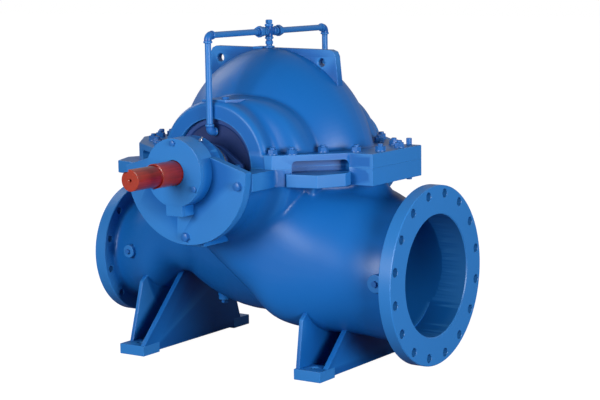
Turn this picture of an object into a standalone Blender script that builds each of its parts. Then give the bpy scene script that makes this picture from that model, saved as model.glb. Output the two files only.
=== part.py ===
"""Horizontal split case double suction pump, on its own feet, with the flushing pipe over the casing.

X runs along the pipework (suction flange at +X, discharge flange at -X), Y along the shaft
(drive end at -Y), Z up. Each piece is drawn from the point under the middle of the casing, on the ground,
and a parent empty then moves the whole pump so that the middle of its footprint is at the origin.
"""

import math

import bmesh
import bpy
from mathutils import Matrix, Vector

# Driving dimensions, in metres
SHAFT_Z = 0.650
NOZZLE_Z = 0.305
NOZZLE_Y = 0.015
GAP = 0.0003

SUCTION_X = 0.610
SUCTION_FLANGE_R = 0.2825
SUCTION_FLANGE_T = 0.043
SUCTION_BORE_R = 0.192
SUCTION_BOLT_CIRCLE_R = 0.2575
SUCTION_HOLE_R = 0.014
SUCTION_HOLES = 16

DISCHARGE_X = -0.590
DISCHARGE_FLANGE_R = 0.2225
DISCHARGE_FLANGE_T = 0.043
DISCHARGE_BORE_R = 0.150
DISCHARGE_BOLT_CIRCLE_R = 0.200
DISCHARGE_HOLE_R = 0.0115
DISCHARGE_HOLES = 12

JOINT_TOP = 0.694
JOINT_BOTTOM = 0.596
LUG_TOP = 0.637

COLLAR_FACE_Y = 0.316
COLLAR_R = 0.205
RECESS_R = 0.148
RECESS_FLOOR_Y = 0.288
COLLAR_PAD_Z = 0.856
CHAMBER_R = 0.110
SHAFT_HOLE_R = 0.052

CRADLE_Y = 0.430
CRADLE_HALF = 0.232
CRADLE_R = 0.214
BRACKET_FACE_Y = 0.460
BRACKET_R = 0.228
HOUSING_R = 0.105
HOUSING_FACE_Y = 0.503
COVER_FACE_Y = 0.515
BEARING_R = 0.075
BEARING_BACK_Y = 0.462
BEARING_CLEARANCE = 0.0005

DRIVE_END_Y = -0.718
FAR_END_Y = 0.529
SHAFT_STEP_Y = -0.607
SHAFT_END_R = 0.0325
SHAFT_BODY_R = 0.0375

PIPE_R = 0.0098
FITTING_R = 0.0120
FITTING_RIM_R = 0.0140
ELBOW_LEG = 0.024
PIPE_Z = 1.055
PIPE_DOWN_Y = 0.328
PIPE_FOOT_Z = 0.757

FOOT_LEFT = (-0.417, -0.316)
FOOT_RIGHT = (0.278, 0.376)
FOOT_HALF = 0.296
PAD_H = 0.034

ROUND = 40
SMALL_ROUND = 20

BLUE = (0.020, 0.130, 0.500, 1.0)
DARK_BLUE = (0.010, 0.050, 0.250, 1.0)
RED = (0.280, 0.015, 0.010, 1.0)
STEEL = (0.550, 0.550, 0.560, 1.0)
BRONZE = (0.420, 0.260, 0.090, 1.0)


def clear_scene():
    """Removes whatever the scene holds."""
    for obj in list(bpy.data.objects):
        bpy.data.objects.remove(obj, do_unlink=True)


def new_collection(name):
    home = bpy.data.collections.new(name)
    bpy.context.scene.collection.children.link(home)
    return home


def paint(obj, colour, roughness, metallic):
    """Gives a piece its own Principled material."""
    material = bpy.data.materials.new(obj.name)
    material.use_nodes = True
    shader = material.node_tree.nodes["Principled BSDF"]
    shader.inputs["Base Color"].default_value = colour
    shader.inputs["Roughness"].default_value = roughness
    shader.inputs["Metallic"].default_value = metallic
    obj.data.materials.clear()
    obj.data.materials.append(material)


def object_from(name, bm, home):
    """Makes an object of a bmesh, closed and facing out."""
    bmesh.ops.recalc_face_normals(bm, faces=bm.faces)
    mesh = bpy.data.meshes.new(name)
    bm.to_mesh(mesh)
    bm.free()
    obj = bpy.data.objects.new(name, mesh)
    home.objects.link(obj)
    return obj


def box(name, low, high, home):
    """An upright box between two corners."""
    bm = bmesh.new()
    bmesh.ops.create_cube(bm, size=1.0)
    size = [b - a for a, b in zip(low, high)]
    middle = [(a + b) / 2 for a, b in zip(low, high)]
    bmesh.ops.scale(bm, vec=size, verts=bm.verts)
    bmesh.ops.translate(bm, vec=middle, verts=bm.verts)
    return object_from(name, bm, home)


def along(axis):
    """The turn that lays a cylinder's own Z along the named axis."""
    turns = {
        "X": Matrix.Rotation(math.radians(90), 4, "Y"),
        "Y": Matrix.Rotation(math.radians(-90), 4, "X"),
        "Z": Matrix.Identity(4),
    }
    return turns[axis]


def drum(name, axis, centre, start, end, radii, home, sides=ROUND):
    """A cylinder or cone from start to end along an axis. centre holds the other two coordinates."""
    bm = bmesh.new()
    bmesh.ops.create_cone(
        bm,
        cap_ends=True,
        segments=sides,
        radius1=radii[0],
        radius2=radii[1],
        depth=end - start,
    )
    bmesh.ops.transform(bm, matrix=along(axis), verts=bm.verts)
    middle = (start + end) / 2
    places = {
        "X": (middle, centre[0], centre[1]),
        "Y": (centre[0], middle, centre[1]),
        "Z": (centre[0], centre[1], middle),
    }
    bmesh.ops.translate(bm, vec=places[axis], verts=bm.verts)
    return object_from(name, bm, home)


def prism(name, points, low, high, home, axis="Z"):
    """A flat outline given thickness between two heights along an axis."""
    curve = bpy.data.curves.new(name, "CURVE")
    curve.dimensions = "2D"
    curve.fill_mode = "BOTH"
    curve.extrude = (high - low) / 2
    spline = curve.splines.new("POLY")
    spline.points.add(len(points) - 1)
    for point, (a, b) in zip(spline.points, points):
        point.co = (a, b, 0.0, 1.0)
    spline.use_cyclic_u = True
    flat = bpy.data.objects.new(name + "_outline", curve)
    bpy.context.scene.collection.objects.link(flat)
    graph = bpy.context.evaluated_depsgraph_get()
    mesh = bpy.data.meshes.new_from_object(flat.evaluated_get(graph))
    bpy.data.objects.remove(flat, do_unlink=True)
    bm = bmesh.new()
    bm.from_mesh(mesh)
    bmesh.ops.remove_doubles(bm, verts=bm.verts, dist=0.00001)
    middle = (high + low) / 2
    turns = {
        "Z": Matrix.Translation((0, 0, middle)),
        "Y": Matrix.Translation((0, middle, 0)) @ Matrix.Rotation(math.radians(90), 4, "X"),
        "X": Matrix.Translation((middle, 0, 0)) @ Matrix(((0, 0, 1, 0), (1, 0, 0, 0), (0, 1, 0, 0), (0, 0, 0, 1))),
    }
    bmesh.ops.transform(bm, matrix=turns[axis], verts=bm.verts)
    obj = object_from(name, bm, home)
    bpy.data.meshes.remove(mesh)
    return obj


def turned(name, profile, home, steps=ROUND, closed=False):
    """A shape turned about the shaft's axis. The profile is (radius, y) from +Y to -Y down its outer side."""
    bm = bmesh.new()
    corners = [bm.verts.new((radius, 0.0, y)) for radius, y in profile]
    for first, second in zip(corners, corners[1:]):
        bm.edges.new((first, second))
    if closed:
        bm.edges.new((corners[-1], corners[0]))
    mesh = bpy.data.meshes.new(name)
    bm.to_mesh(mesh)
    bm.free()
    obj = bpy.data.objects.new(name, mesh)
    home.objects.link(obj)
    obj.matrix_world = Matrix.Translation((0, 0, SHAFT_Z)) @ along("Y")
    screw = obj.modifiers.new("turn", "SCREW")
    screw.axis = "Z"
    screw.steps = steps
    screw.render_steps = steps
    screw.use_merge_vertices = True
    screw.merge_threshold = 0.0001
    return obj


def loft(name, rings, home):
    """A body through rings of equal count, closed at both ends."""
    bm = bmesh.new()
    rows = [[bm.verts.new(point) for point in ring] for ring in rings]
    count = len(rows[0])
    for low, high in zip(rows, rows[1:]):
        for i in range(count):
            j = (i + 1) % count
            bm.faces.new((low[i], low[j], high[j], high[i]))
    bm.faces.new(rows[0])
    bm.faces.new(rows[-1])
    return object_from(name, bm, home)


def between(rows, count):
    """More rows of numbers, on a smooth curve through the given ones."""
    found = []
    for i in range(len(rows) - 1):
        before = rows[max(i - 1, 0)]
        after = rows[min(i + 2, len(rows) - 1)]
        for step in range(count):
            t = step / count
            row = []
            for a, b, c, d in zip(before, rows[i], rows[i + 1], after):
                bend = (c - a) * t + (2 * a - 5 * b + 4 * c - d) * t**2 + (3 * b - a - 3 * c + d) * t**3
                row.append(b + bend / 2)
            found.append(tuple(row))
    found.append(tuple(rows[-1]))
    return found


def value_at(table, place):
    """The value of a table of (place, value) rows at a place between them."""
    for (a, low), (b, high) in zip(table, table[1:]):
        if a <= place <= b:
            return low + (high - low) * (place - a) / (b - a)
    return table[-1][1]


def oval(x, centre, half, power, count=32):
    """A superellipse across the pipework at x. power 2 is an ellipse, more is squarer."""
    ring = []
    for i in range(count):
        turn = 2 * math.pi * i / count
        c = math.cos(turn)
        s = math.sin(turn)
        y = centre[0] + half[0] * math.copysign(abs(c) ** (2 / power), c)
        z = centre[1] + half[1] * math.copysign(abs(s) ** (2 / power), s)
        ring.append((x, y, z))
    return ring


def helper(obj, home):
    """Keeps a shape as a tool for a Boolean only."""
    obj.hide_render = True
    obj.display_type = "WIRE"
    for old in list(obj.users_collection):
        old.objects.unlink(obj)
    home.objects.link(obj)
    return obj


def combine(obj, operation, tools, home, solver="EXACT"):
    """Joins tools to the piece (UNION) or cuts them out (DIFFERENCE)."""
    for tool in tools:
        helper(tool, home)
        step = obj.modifiers.new(tool.name, "BOOLEAN")
        step.operation = operation
        step.solver = solver
        step.object = tool


def smooth(obj, angle=35):
    """Shades round faces smooth and keeps real corners sharp."""
    obj.data.shade_smooth()
    obj.data.set_sharp_from_angle(angle=math.radians(angle))


def mirrored(points):
    """The other half of an outline, across the pipework's line."""
    return [(x, -y) for x, y in reversed(points)]


def joint_outline():
    """The split flange seen from above, the same on both sides of the casing's middle."""
    front = [
        (0.480, -0.148),
        (0.396, -0.148),
        (0.225, -0.320),
        (-0.225, -0.320),
        (-0.390, -0.200),
        (-0.500, -0.040),
    ]
    return front + mirrored(front)


def lug_outlines():
    """The four prising lugs that the lower flange keeps outside the upper one."""
    right = [(0.255, -0.285), (0.262, -0.296), (0.362, -0.278), (0.410, -0.190), (0.402, -0.150), (0.300, -0.220)]
    left = [(-0.300, -0.230), (-0.395, -0.190), (-0.460, -0.105), (-0.482, -0.150), (-0.445, -0.245), (-0.280, -0.287)]
    return [right, mirrored(right), left, mirrored(left)]


def prising_slots(home):
    """The four pockets in the upper flange's slanting faces, over the lugs, where a bar lifts the upper half."""
    made = []
    places = ((0.3320, -0.2123, 45, 0.0895), (-0.3075, -0.260, -36, 0.055))
    for i, (x, y, degrees, half) in enumerate(places):
        outline = [
            (-half, 0.640),
            (half, 0.640),
            (half, 0.662),
            (half - 0.004, 0.670),
            (half - 0.012, 0.6745),
            (0.018 - half, 0.6745),
            (0.012 - half, 0.672),
        ]
        for side in (-1, 1):
            slot = prism(f"prising_slot_{i + 1}_{side + 2}", outline, -0.012, 0.034, home, axis="Y")
            if side > 0:
                slot.data.transform(Matrix.Rotation(math.radians(180), 4, "Z"))
            slot.matrix_world = Matrix.Translation((x, -side * y, 0)) @ Matrix.Rotation(math.radians(-side * degrees), 4, "Z")
            made.append(slot)
    return made


def rings_round_shaft(first, last, step, outline):
    """Rings that stand on the shaft's axis, from the discharge side over the top. The outline is made for each angle."""
    rings = []
    for angle in range(first, last + 1, step):
        turn = math.radians(180 - angle)
        ring = []
        for y, reach in outline(angle):
            ring.append((reach * math.cos(turn), y, SHAFT_Z + reach * math.sin(turn)))
        rings.append(ring)
    return rings


def volute_outline(angle):
    """The spiral casing's section at an angle: it grows from the tongue on the discharge side."""
    growth = ((0, 0.326), (45, 0.334), (90, 0.353), (135, 0.360), (180, 0.374), (225, 0.418), (270, 0.470), (330, 0.505))
    crest = value_at(growth, angle)
    drops = (
        (0.207, 0.198),
        (0.200, 0.168),
        (0.186, 0.138),
        (0.166, 0.106),
        (0.140, 0.073),
        (0.108, 0.043),
        (0.074, 0.020),
        (0.038, 0.005),
    )
    half = [(y, crest - drop) for y, drop in drops]
    middle = [(0.0, crest)]
    return [(-y, reach) for y, reach in half] + middle + half[::-1] + [(0.207, 0.020), (-0.207, 0.020)]


def barrel_outline(angle):
    """The inlet chambers' roof: level with the collars on the discharge side, fuller towards the suction."""
    fullness = ((0, 0.206), (60, 0.207), (90, 0.211), (105, 0.218), (125, 0.242), (145, 0.268), (165, 0.282), (180, 0.288))
    swell = value_at(fullness, angle) - COLLAR_R
    half = [
        (COLLAR_FACE_Y, COLLAR_R - 0.016),
        (0.311, COLLAR_R - 0.008),
        (0.303, COLLAR_R - 0.002),
        (0.292, COLLAR_R),
        (0.268, COLLAR_R + 0.08 * swell),
        (0.252, COLLAR_R + 0.50 * swell),
        (0.236, COLLAR_R + 0.80 * swell),
        (0.214, COLLAR_R + 0.95 * swell),
        (0.190, COLLAR_R + swell),
    ]
    return [(-y, reach) for y, reach in half] + half[::-1] + [(COLLAR_FACE_Y, 0.020), (-COLLAR_FACE_Y, 0.020)]


def hub(name, home, radius, half):
    """A plain drum round the shaft that fills the middle of the casing."""
    return drum(name, "Y", (0, SHAFT_Z), -half, half, (radius, radius), home)


def bolt_holes(name, x_low, x_high, circle, radius, count, home):
    """The holes through a pipe flange, straddling its centre lines."""
    holes = []
    for i in range(count):
        turn = 2 * math.pi * (i + 0.5) / count
        centre = (NOZZLE_Y + circle * math.cos(turn), NOZZLE_Z + circle * math.sin(turn))
        holes.append(drum(f"{name}_{i + 1}", "X", centre, x_low, x_high, (radius, radius), home, 10))
    return holes


def suction_body(home):
    """The passage from the suction neck up to the two inlet chambers."""
    sections = (
        (-0.170, 0.560, 0.288, 0.128, 5.0),
        (-0.090, 0.520, 0.296, 0.148, 5.0),
        (0.000, 0.470, 0.300, 0.172, 4.5),
        (0.080, 0.420, 0.301, 0.198, 3.8),
        (0.160, 0.392, 0.300, 0.242, 4.0),
        (0.240, 0.356, 0.290, 0.248, 3.1),
        (0.320, 0.337, 0.274, 0.246, 2.5),
        (0.400, 0.325, 0.252, 0.236, 2.2),
        (0.460, 0.312, 0.234, 0.226, 2.1),
        (0.520, 0.305, 0.222, 0.219, 2.0),
        (0.575, 0.305, 0.220, 0.217, 2.0),
    )
    rings = [oval(x, (NOZZLE_Y * max(0, x) / 0.575, zc), (a, b), p) for x, zc, a, b, p in between(sections, 2)]
    return loft("suction_body", rings, home)


def neck_post(home):
    """The short post between the suction neck's top and the split flange, widening downwards."""
    rings = []
    for radius, z in ((0.165, 0.498), (0.134, 0.524), (0.109, 0.550), (0.090, 0.575), (0.080, 0.602)):
        turns = [2 * math.pi * i / 24 for i in range(24)]
        rings.append([(0.330 + radius * math.cos(t), NOZZLE_Y + radius * math.sin(t), z) for t in turns])
    return loft("neck_post", rings, home)


def discharge_body(home):
    """The passage from the volute down to the discharge neck."""
    sections = (
        (-0.560, 0.305, 0.166, 0.163, 2.0),
        (-0.520, 0.307, 0.173, 0.168, 2.0),
        (-0.470, 0.316, 0.188, 0.170, 2.1),
        (-0.400, 0.342, 0.205, 0.168, 2.3),
        (-0.320, 0.388, 0.212, 0.172, 2.5),
        (-0.240, 0.430, 0.214, 0.184, 2.6),
        (-0.150, 0.450, 0.208, 0.190, 2.6),
    )
    rings = [oval(x, (NOZZLE_Y * x / -0.560, zc), (a, b), p) for x, zc, a, b, p in between(sections, 2)]
    return loft("discharge_body", rings, home)


def foot(name, span, steep, sloping, home):
    """One foot: two end pads, two upright webs and a cross wall.

    Each web has one steep and one sloping edge, given as (y at the pad's top, y at the web's top, web's top).
    """
    x0, x1 = span
    pads = [
        box(name + "_pad_front", (x0, -FOOT_HALF, 0), (x1, -0.212, PAD_H), home),
        box(name + "_pad_rear", (x0, 0.205, 0), (x1, FOOT_HALF, PAD_H), home),
    ]
    rail = box(name + "_rail", (x0 + 0.001, -0.230, 0.007), (x1 - 0.001, 0.230, 0.022), home)
    front = [(-steep[0], 0.008), (-steep[0], PAD_H), (-steep[1], steep[2])]
    back = [(sloping[1], sloping[2]), (sloping[0], PAD_H), (sloping[0], 0.008)]
    left_web = prism(name + "_web_left", front + back, x0 + 0.002, x0 + 0.016, home, axis="X")
    front = [(-sloping[0], 0.008), (-sloping[0], PAD_H), (-sloping[1], sloping[2])]
    back = [(0.268, steep[2]), (0.288, PAD_H), (0.288, 0.008)]
    right_web = prism(name + "_web_right", front + back, x1 - 0.019, x1 - 0.001, home, axis="X")
    wall = box(name + "_wall", (x0 + 0.008, -0.020, 0.010), (x1 - 0.008, 0.010, steep[2]), home)
    return pads + [rail, left_web, right_web, wall]


def cradle(name, side, home):
    """The trough that carries a bearing bracket in front of the seal, with its half moon face and the rib under it."""
    low, high = sorted((side * 0.280, side * CRADLE_Y))
    shell = drum(name + "_shell", "Y", (0, SHAFT_Z), low, high, (CRADLE_R, CRADLE_R), home)
    low, high = sorted((side * (CRADLE_Y - 0.006), side * CRADLE_Y))
    face = drum(name + "_face", "Y", (0, SHAFT_Z), low, high, (BRACKET_R, BRACKET_R), home)
    low, high = sorted((side * 0.300, side * CRADLE_Y))
    arm = box(name + "_arm", (-CRADLE_HALF, low, JOINT_BOTTOM), (CRADLE_HALF, high, SHAFT_Z), home)
    low, high = sorted((side * 0.270, side * (CRADLE_Y - 0.001)))
    rib = box(name + "_rib", (-0.044, low, 0.414), (0.044, high, 0.470), home)
    return [shell, face, arm, rib]


def chamber_low(home):
    """The inlet chambers round the shaft, whose end walls run into the cradles with a hollow."""
    half = [(0.190, 0.334), (0.214, 0.334), (0.221, 0.316), (0.236, 0.303), (0.256, 0.294), (0.271, 0.276)]
    profile = [(0.000, 0.334)] + half + [(radius, -y) for radius, y in reversed(half)] + [(0.000, -0.334)]
    return turned("chamber_low", profile, home)


def cradle_cuts(name, side, home):
    """The open inside of a cradle, above and round the shaft."""
    low, high = sorted((side * (COLLAR_FACE_Y + 0.004), side * (CRADLE_Y + 0.010)))
    trough = drum(name + "_trough", "Y", (0, SHAFT_Z), low, high, (0.178, 0.178), home)
    low, high = sorted((side * RECESS_FLOOR_Y, side * (CRADLE_Y + 0.010)))
    recess = drum(name + "_recess", "Y", (0, SHAFT_Z), low, high, (RECESS_R, RECESS_R), home)
    low, high = sorted((side * 0.200, side * 0.300))
    chamber = drum(name + "_chamber", "Y", (0, SHAFT_Z), low, high, (CHAMBER_R, CHAMBER_R), home)
    return [trough, recess, chamber]


def wheel_space(name, home):
    """The space that the impeller turns in, with the shaft's way out through both walls."""
    wheel = drum(name + "_wheel", "Y", (0, SHAFT_Z), -0.110, 0.110, (0.270, 0.270), home)
    way = drum(name + "_way", "Y", (0, SHAFT_Z), -0.250, 0.250, (SHAFT_HOLE_R + 0.010, SHAFT_HOLE_R + 0.010), home)
    return [wheel, way]


def lower_casing(parts, tools):
    """The lower half casting: both necks, the feet and the bearing cradles."""
    casing = prism("lower_casing", joint_outline(), JOINT_BOTTOM, SHAFT_Z, parts)
    adds = [
        prism(f"lug_{i + 1}", outline, JOINT_BOTTOM, LUG_TOP, tools) for i, outline in enumerate(lug_outlines())
    ]
    adds.append(loft("volute_low", rings_round_shaft(180, 330, 10, volute_outline), tools))
    adds.append(hub("hub_low", tools, 0.300, 0.190))
    adds.append(chamber_low(tools))
    adds.append(suction_body(tools))
    adds.append(discharge_body(tools))
    centre = (NOZZLE_Y, NOZZLE_Z)
    rim = (SUCTION_FLANGE_R, SUCTION_FLANGE_R)
    adds.append(drum("suction_flange", "X", centre, SUCTION_X - SUCTION_FLANGE_T, SUCTION_X, rim, tools, 64))
    rim = (DISCHARGE_FLANGE_R, DISCHARGE_FLANGE_R)
    adds.append(
        drum("discharge_flange", "X", centre, DISCHARGE_X, DISCHARGE_X + DISCHARGE_FLANGE_T, rim, tools, 56)
    )
    adds += foot("foot_left", FOOT_LEFT, (0.246, 0.194, 0.262), (0.290, 0.007, 0.300), tools)
    adds += foot("foot_right", FOOT_RIGHT, (0.295, 0.271, 0.260), (0.232, -0.021, 0.240), tools)
    adds += cradle("cradle_drive", -1, tools)
    adds += cradle("cradle_far", 1, tools)
    adds.append(neck_post(tools))
    adds.append(drum("boss_suction", "Y", (0.532, 0.312), -0.226, -0.100, (0.028, 0.028), tools, 20))
    adds.append(drum("boss_discharge", "Y", (-0.450, 0.325), -0.204, -0.080, (0.028, 0.028), tools, 18))
    combine(casing, "UNION", adds, tools, "MANIFOLD")
    above = box("above_joint", (-0.700, -0.700, SHAFT_Z), (0.700, 0.700, 1.300), tools)
    cuts = [above]
    cuts.append(drum("suction_bore", "X", centre, 0.180, SUCTION_X + 0.010, (0.150, SUCTION_BORE_R), tools, 48))
    cuts.append(
        drum("discharge_bore", "X", centre, DISCHARGE_X - 0.010, -0.400, (DISCHARGE_BORE_R, 0.105), tools, 40)
    )
    cuts += bolt_holes(
        "suction_hole",
        SUCTION_X - SUCTION_FLANGE_T - 0.004,
        SUCTION_X + 0.010,
        SUCTION_BOLT_CIRCLE_R,
        SUCTION_HOLE_R,
        SUCTION_HOLES,
        tools,
    )
    cuts += bolt_holes(
        "discharge_hole",
        DISCHARGE_X - 0.010,
        DISCHARGE_X + DISCHARGE_FLANGE_T + 0.004,
        DISCHARGE_BOLT_CIRCLE_R,
        DISCHARGE_HOLE_R,
        DISCHARGE_HOLES,
        tools,
    )
    cuts += cradle_cuts("drive", -1, tools)
    cuts += cradle_cuts("far", 1, tools)
    cuts += wheel_space("low", tools)
    combine(casing, "DIFFERENCE", cuts, tools, "MANIFOLD")
    smooth(casing)
    return casing


def upper_casing(parts, tools):
    """The lifting upper half: the dome over the impeller, the inlet barrels, the collars and the lifting rib."""
    low = SHAFT_Z + GAP
    casing = prism("upper_casing", joint_outline(), low, JOINT_TOP, parts)
    adds = [loft("volute_top", rings_round_shaft(0, 180, 10, volute_outline), tools)]
    adds.append(loft("barrel", rings_round_shaft(0, 180, 10, barrel_outline), tools))
    rib = [
        (-0.232, 0.880),
        (-0.228, 0.985),
        (-0.220, 1.000),
        (-0.205, 1.006),
        (0.240, 0.999),
        (0.256, 0.993),
        (0.263, 0.979),
        (0.275, 0.860),
    ]
    adds.append(prism("rib", rib, -0.014, 0.014, tools, axis="Y"))
    adds.append(box("crest_pad", (-0.050, -0.022, 0.980), (-0.015, 0.022, 1.006), tools))
    adds.append(drum("crest_boss", "Z", (0, 0), 0.960, 1.008, (0.020, 0.016), tools, SMALL_ROUND))
    pad = [(-0.045, -0.306), (0.045, -0.306), (0.098, -0.205), (0.098, -0.170), (-0.045, -0.170)]
    adds.append(prism("collar_pad_drive", pad, 0.800, COLLAR_PAD_Z, tools))
    adds.append(prism("collar_pad_far", [(-x, -y) for x, y in pad], 0.800, COLLAR_PAD_Z, tools))
    combine(casing, "UNION", adds, tools, "MANIFOLD")
    cuts = [box("below_joint", (-0.700, -0.700, 0.100), (0.700, 0.700, low), tools)]
    cuts.append(drum("eye_left", "Y", (-0.188, 0.967), -0.050, 0.050, (0.0135, 0.0135), tools, SMALL_ROUND))
    cuts.append(drum("eye_right", "Y", (0.210, 0.958), -0.050, 0.050, (0.0135, 0.0135), tools, SMALL_ROUND))
    for name, side in (("top_drive", -1), ("top_far", 1)):
        cuts += cradle_cuts(name, side, tools)[1:]
    cuts += wheel_space("top", tools)
    cuts += prising_slots(tools)
    combine(casing, "DIFFERENCE", cuts, tools, "MANIFOLD")
    smooth(casing)
    return casing


def shaft(parts, tools):
    """The shaft, with its coupling end bare and its keyway open."""
    profile = [
        (0.000, 0.505),
        (0.030, 0.505),
        (0.030, 0.440),
        (0.0400, 0.440),
        (0.0400, 0.300),
        (0.0430, 0.300),
        (0.0430, -0.300),
        (0.0400, -0.300),
        (0.0400, -0.440),
        (SHAFT_BODY_R, -0.440),
        (SHAFT_BODY_R, SHAFT_STEP_Y),
        (SHAFT_END_R, SHAFT_STEP_Y),
        (SHAFT_END_R, DRIVE_END_Y + 0.003),
        (SHAFT_END_R - 0.003, DRIVE_END_Y),
        (0.000, DRIVE_END_Y),
    ]
    piece = turned("shaft", profile, parts, 32)
    keyway = box(
        "keyway",
        (-0.009, DRIVE_END_Y - 0.010, SHAFT_Z + 0.026),
        (0.009, DRIVE_END_Y + 0.095, SHAFT_Z + 0.060),
        tools,
    )
    keyway.matrix_world = turn_about_shaft(28)
    centre = drum("centre_hole", "Y", (0, SHAFT_Z), DRIVE_END_Y - 0.010, DRIVE_END_Y + 0.012, (0.005, 0.003), tools, 12)
    combine(piece, "DIFFERENCE", [keyway, centre], tools)
    return piece


def turn_about_shaft(degrees):
    """A turn about the shaft's axis, from the top towards -X."""
    there = Matrix.Translation((0, 0, SHAFT_Z))
    return there @ Matrix.Rotation(math.radians(-degrees), 4, "Y") @ there.inverted()


def ring(name, inner, outer, y_low, y_high, parts, steps=ROUND):
    """A plain ring round the shaft."""
    profile = [(outer, y_high), (outer, y_low), (inner, y_low), (inner, y_high)]
    return turned(name, profile, parts, steps, closed=True)


def impeller(parts):
    """The double entry wheel, its two shrouds closed over the vanes."""
    bore = 0.0430 + GAP
    profile = [
        (0.112, 0.098),
        (0.116, 0.070),
        (0.150, 0.045),
        (0.250, 0.034),
        (0.250, -0.034),
        (0.150, -0.045),
        (0.116, -0.070),
        (0.112, -0.098),
        (0.100, -0.098),
        (0.096, -0.060),
        (0.070, -0.040),
        (0.060, -0.070),
        (bore, -0.070),
        (bore, 0.070),
        (0.060, 0.070),
        (0.070, 0.040),
        (0.096, 0.060),
        (0.100, 0.098),
    ]
    return turned("impeller", profile, parts, 48, closed=True)


def seal_cover(name, side, parts):
    """The cover that closes the seal chamber inside the collar's recess."""
    inner = SHAFT_BODY_R + 0.0155
    profile = [
        (RECESS_R - 0.001, 0.302),
        (RECESS_R - 0.001, RECESS_FLOOR_Y + GAP),
        (inner, RECESS_FLOOR_Y + GAP),
        (inner, 0.322),
        (0.078, 0.322),
        (0.084, 0.302),
    ]
    return side_turned(name, profile, side, parts)


def side_turned(name, profile, side, parts, steps=ROUND):
    """A turned ring placed at one end. The profile is given for the far end, (radius, y), outer side first."""
    if side > 0:
        points = profile
    else:
        points = [(radius, -y) for radius, y in reversed(profile)]
    return turned(name, points, parts, steps, closed=True)


def bracket_outline():
    """The half moon plate: its rim, and the top edges that slope up to the housing."""
    points = []
    for i in range(25):
        turn = math.radians(180 + 1 + 178 * i / 24)
        points.append((BRACKET_R * math.cos(turn), SHAFT_Z + BRACKET_R * math.sin(turn)))
    points += [(0.230, 0.656), (0.100, 0.696), (-0.100, 0.696), (-0.230, 0.656)]
    return points


def bearing_bracket(name, side, parts, tools):
    """The bearing bracket: half moon plate, round housing and the square lug under it."""
    low, high = sorted((side * (CRADLE_Y + GAP), side * BRACKET_FACE_Y))
    piece = prism(name, bracket_outline(), low, high, parts, axis="Y")
    low, high = sorted((side * 0.400, side * HOUSING_FACE_Y))
    housing = drum(name + "_housing", "Y", (0, SHAFT_Z), low, high, (HOUSING_R, HOUSING_R), tools)
    low, high = sorted((side * 0.352, side * 0.410))
    radii = (0.078, 0.104) if side > 0 else (0.104, 0.078)
    neck = drum(name + "_neck", "Y", (0, SHAFT_Z), low, high, radii, tools)
    low, high = sorted((side * BRACKET_FACE_Y, side * (BRACKET_FACE_Y + 0.012)))
    step = drum(name + "_step", "Y", (0, SHAFT_Z), low, high, (0.118, 0.118), tools)
    low, high = sorted((side * (BRACKET_FACE_Y - 0.010), side * (HOUSING_FACE_Y - 0.0005)))
    lug = box(name + "_lug", (-0.031, low, SHAFT_Z - 0.132), (0.031, high, SHAFT_Z - 0.080), tools)
    low, high = sorted((side * (BRACKET_FACE_Y - 0.010), side * COVER_FACE_Y))
    nose = box(name + "_nose", (-0.031, low, SHAFT_Z - 0.132), (0.031, high, SHAFT_Z - 0.105), tools)
    combine(piece, "UNION", [housing, neck, step, lug, nose], tools)
    low, high = sorted((side * 0.340, side * 0.520))
    bore = drum(name + "_bore", "Y", (0, SHAFT_Z), low, high, (0.050, 0.050), tools)
    low, high = sorted((side * BEARING_BACK_Y, side * 0.530))
    seat = drum(name + "_seat", "Y", (0, SHAFT_Z), low, high, (BEARING_R, BEARING_R), tools)
    combine(piece, "DIFFERENCE", [bore, seat], tools)
    smooth(piece)
    return piece


def bearing_cover(name, side, parts):
    """The round cover on the housing's face. The far one is closed over the shaft's end."""
    face = HOUSING_FACE_Y + GAP
    if side < 0:
        inner = SHAFT_BODY_R + 0.002
        profile = [(HOUSING_R - 0.001, COVER_FACE_Y), (HOUSING_R - 0.001, face), (inner, face), (inner, COVER_FACE_Y)]
        return side_turned(name, profile, side, parts)
    profile = [
        (0.000, FAR_END_Y),
        (0.060, FAR_END_Y),
        (0.066, COVER_FACE_Y),
        (HOUSING_R - 0.001, COVER_FACE_Y),
        (HOUSING_R - 0.001, face),
        (0.050, face),
        (0.050, COVER_FACE_Y),
        (0.000, COVER_FACE_Y),
    ]
    return turned(name, profile, parts)


def elbow(name, corner, first, second, parts):
    """A pipe elbow with a rim at each socket. Each leg is its direction and its length from the corner."""
    corner = Vector(corner)
    a = Vector(first[0])
    b = Vector(second[0])
    side = a.cross(b)
    bend = 0.014
    middle = corner + (a + b) * bend
    stations = [
        (corner + a * first[1], -a, FITTING_RIM_R),
        (corner + a * (first[1] - 0.006), -a, FITTING_RIM_R),
        (corner + a * (first[1] - 0.0065), -a, FITTING_R),
    ]
    for i in range(6):
        turn = math.radians(90) * i / 5
        point = middle - bend * (b * math.cos(turn) + a * math.sin(turn))
        stations.append((point, b * math.sin(turn) - a * math.cos(turn), FITTING_R))
    stations += [
        (corner + b * (second[1] - 0.0065), b, FITTING_R),
        (corner + b * (second[1] - 0.006), b, FITTING_RIM_R),
        (corner + b * second[1], b, FITTING_RIM_R),
    ]
    rings = []
    for point, way, radius in stations:
        out = way.cross(side)
        turns = [2 * math.pi * i / 14 for i in range(14)]
        rings.append([point + radius * (side * math.cos(t) + out * math.sin(t)) for t in turns])
    return loft(name, rings, parts)


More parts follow.
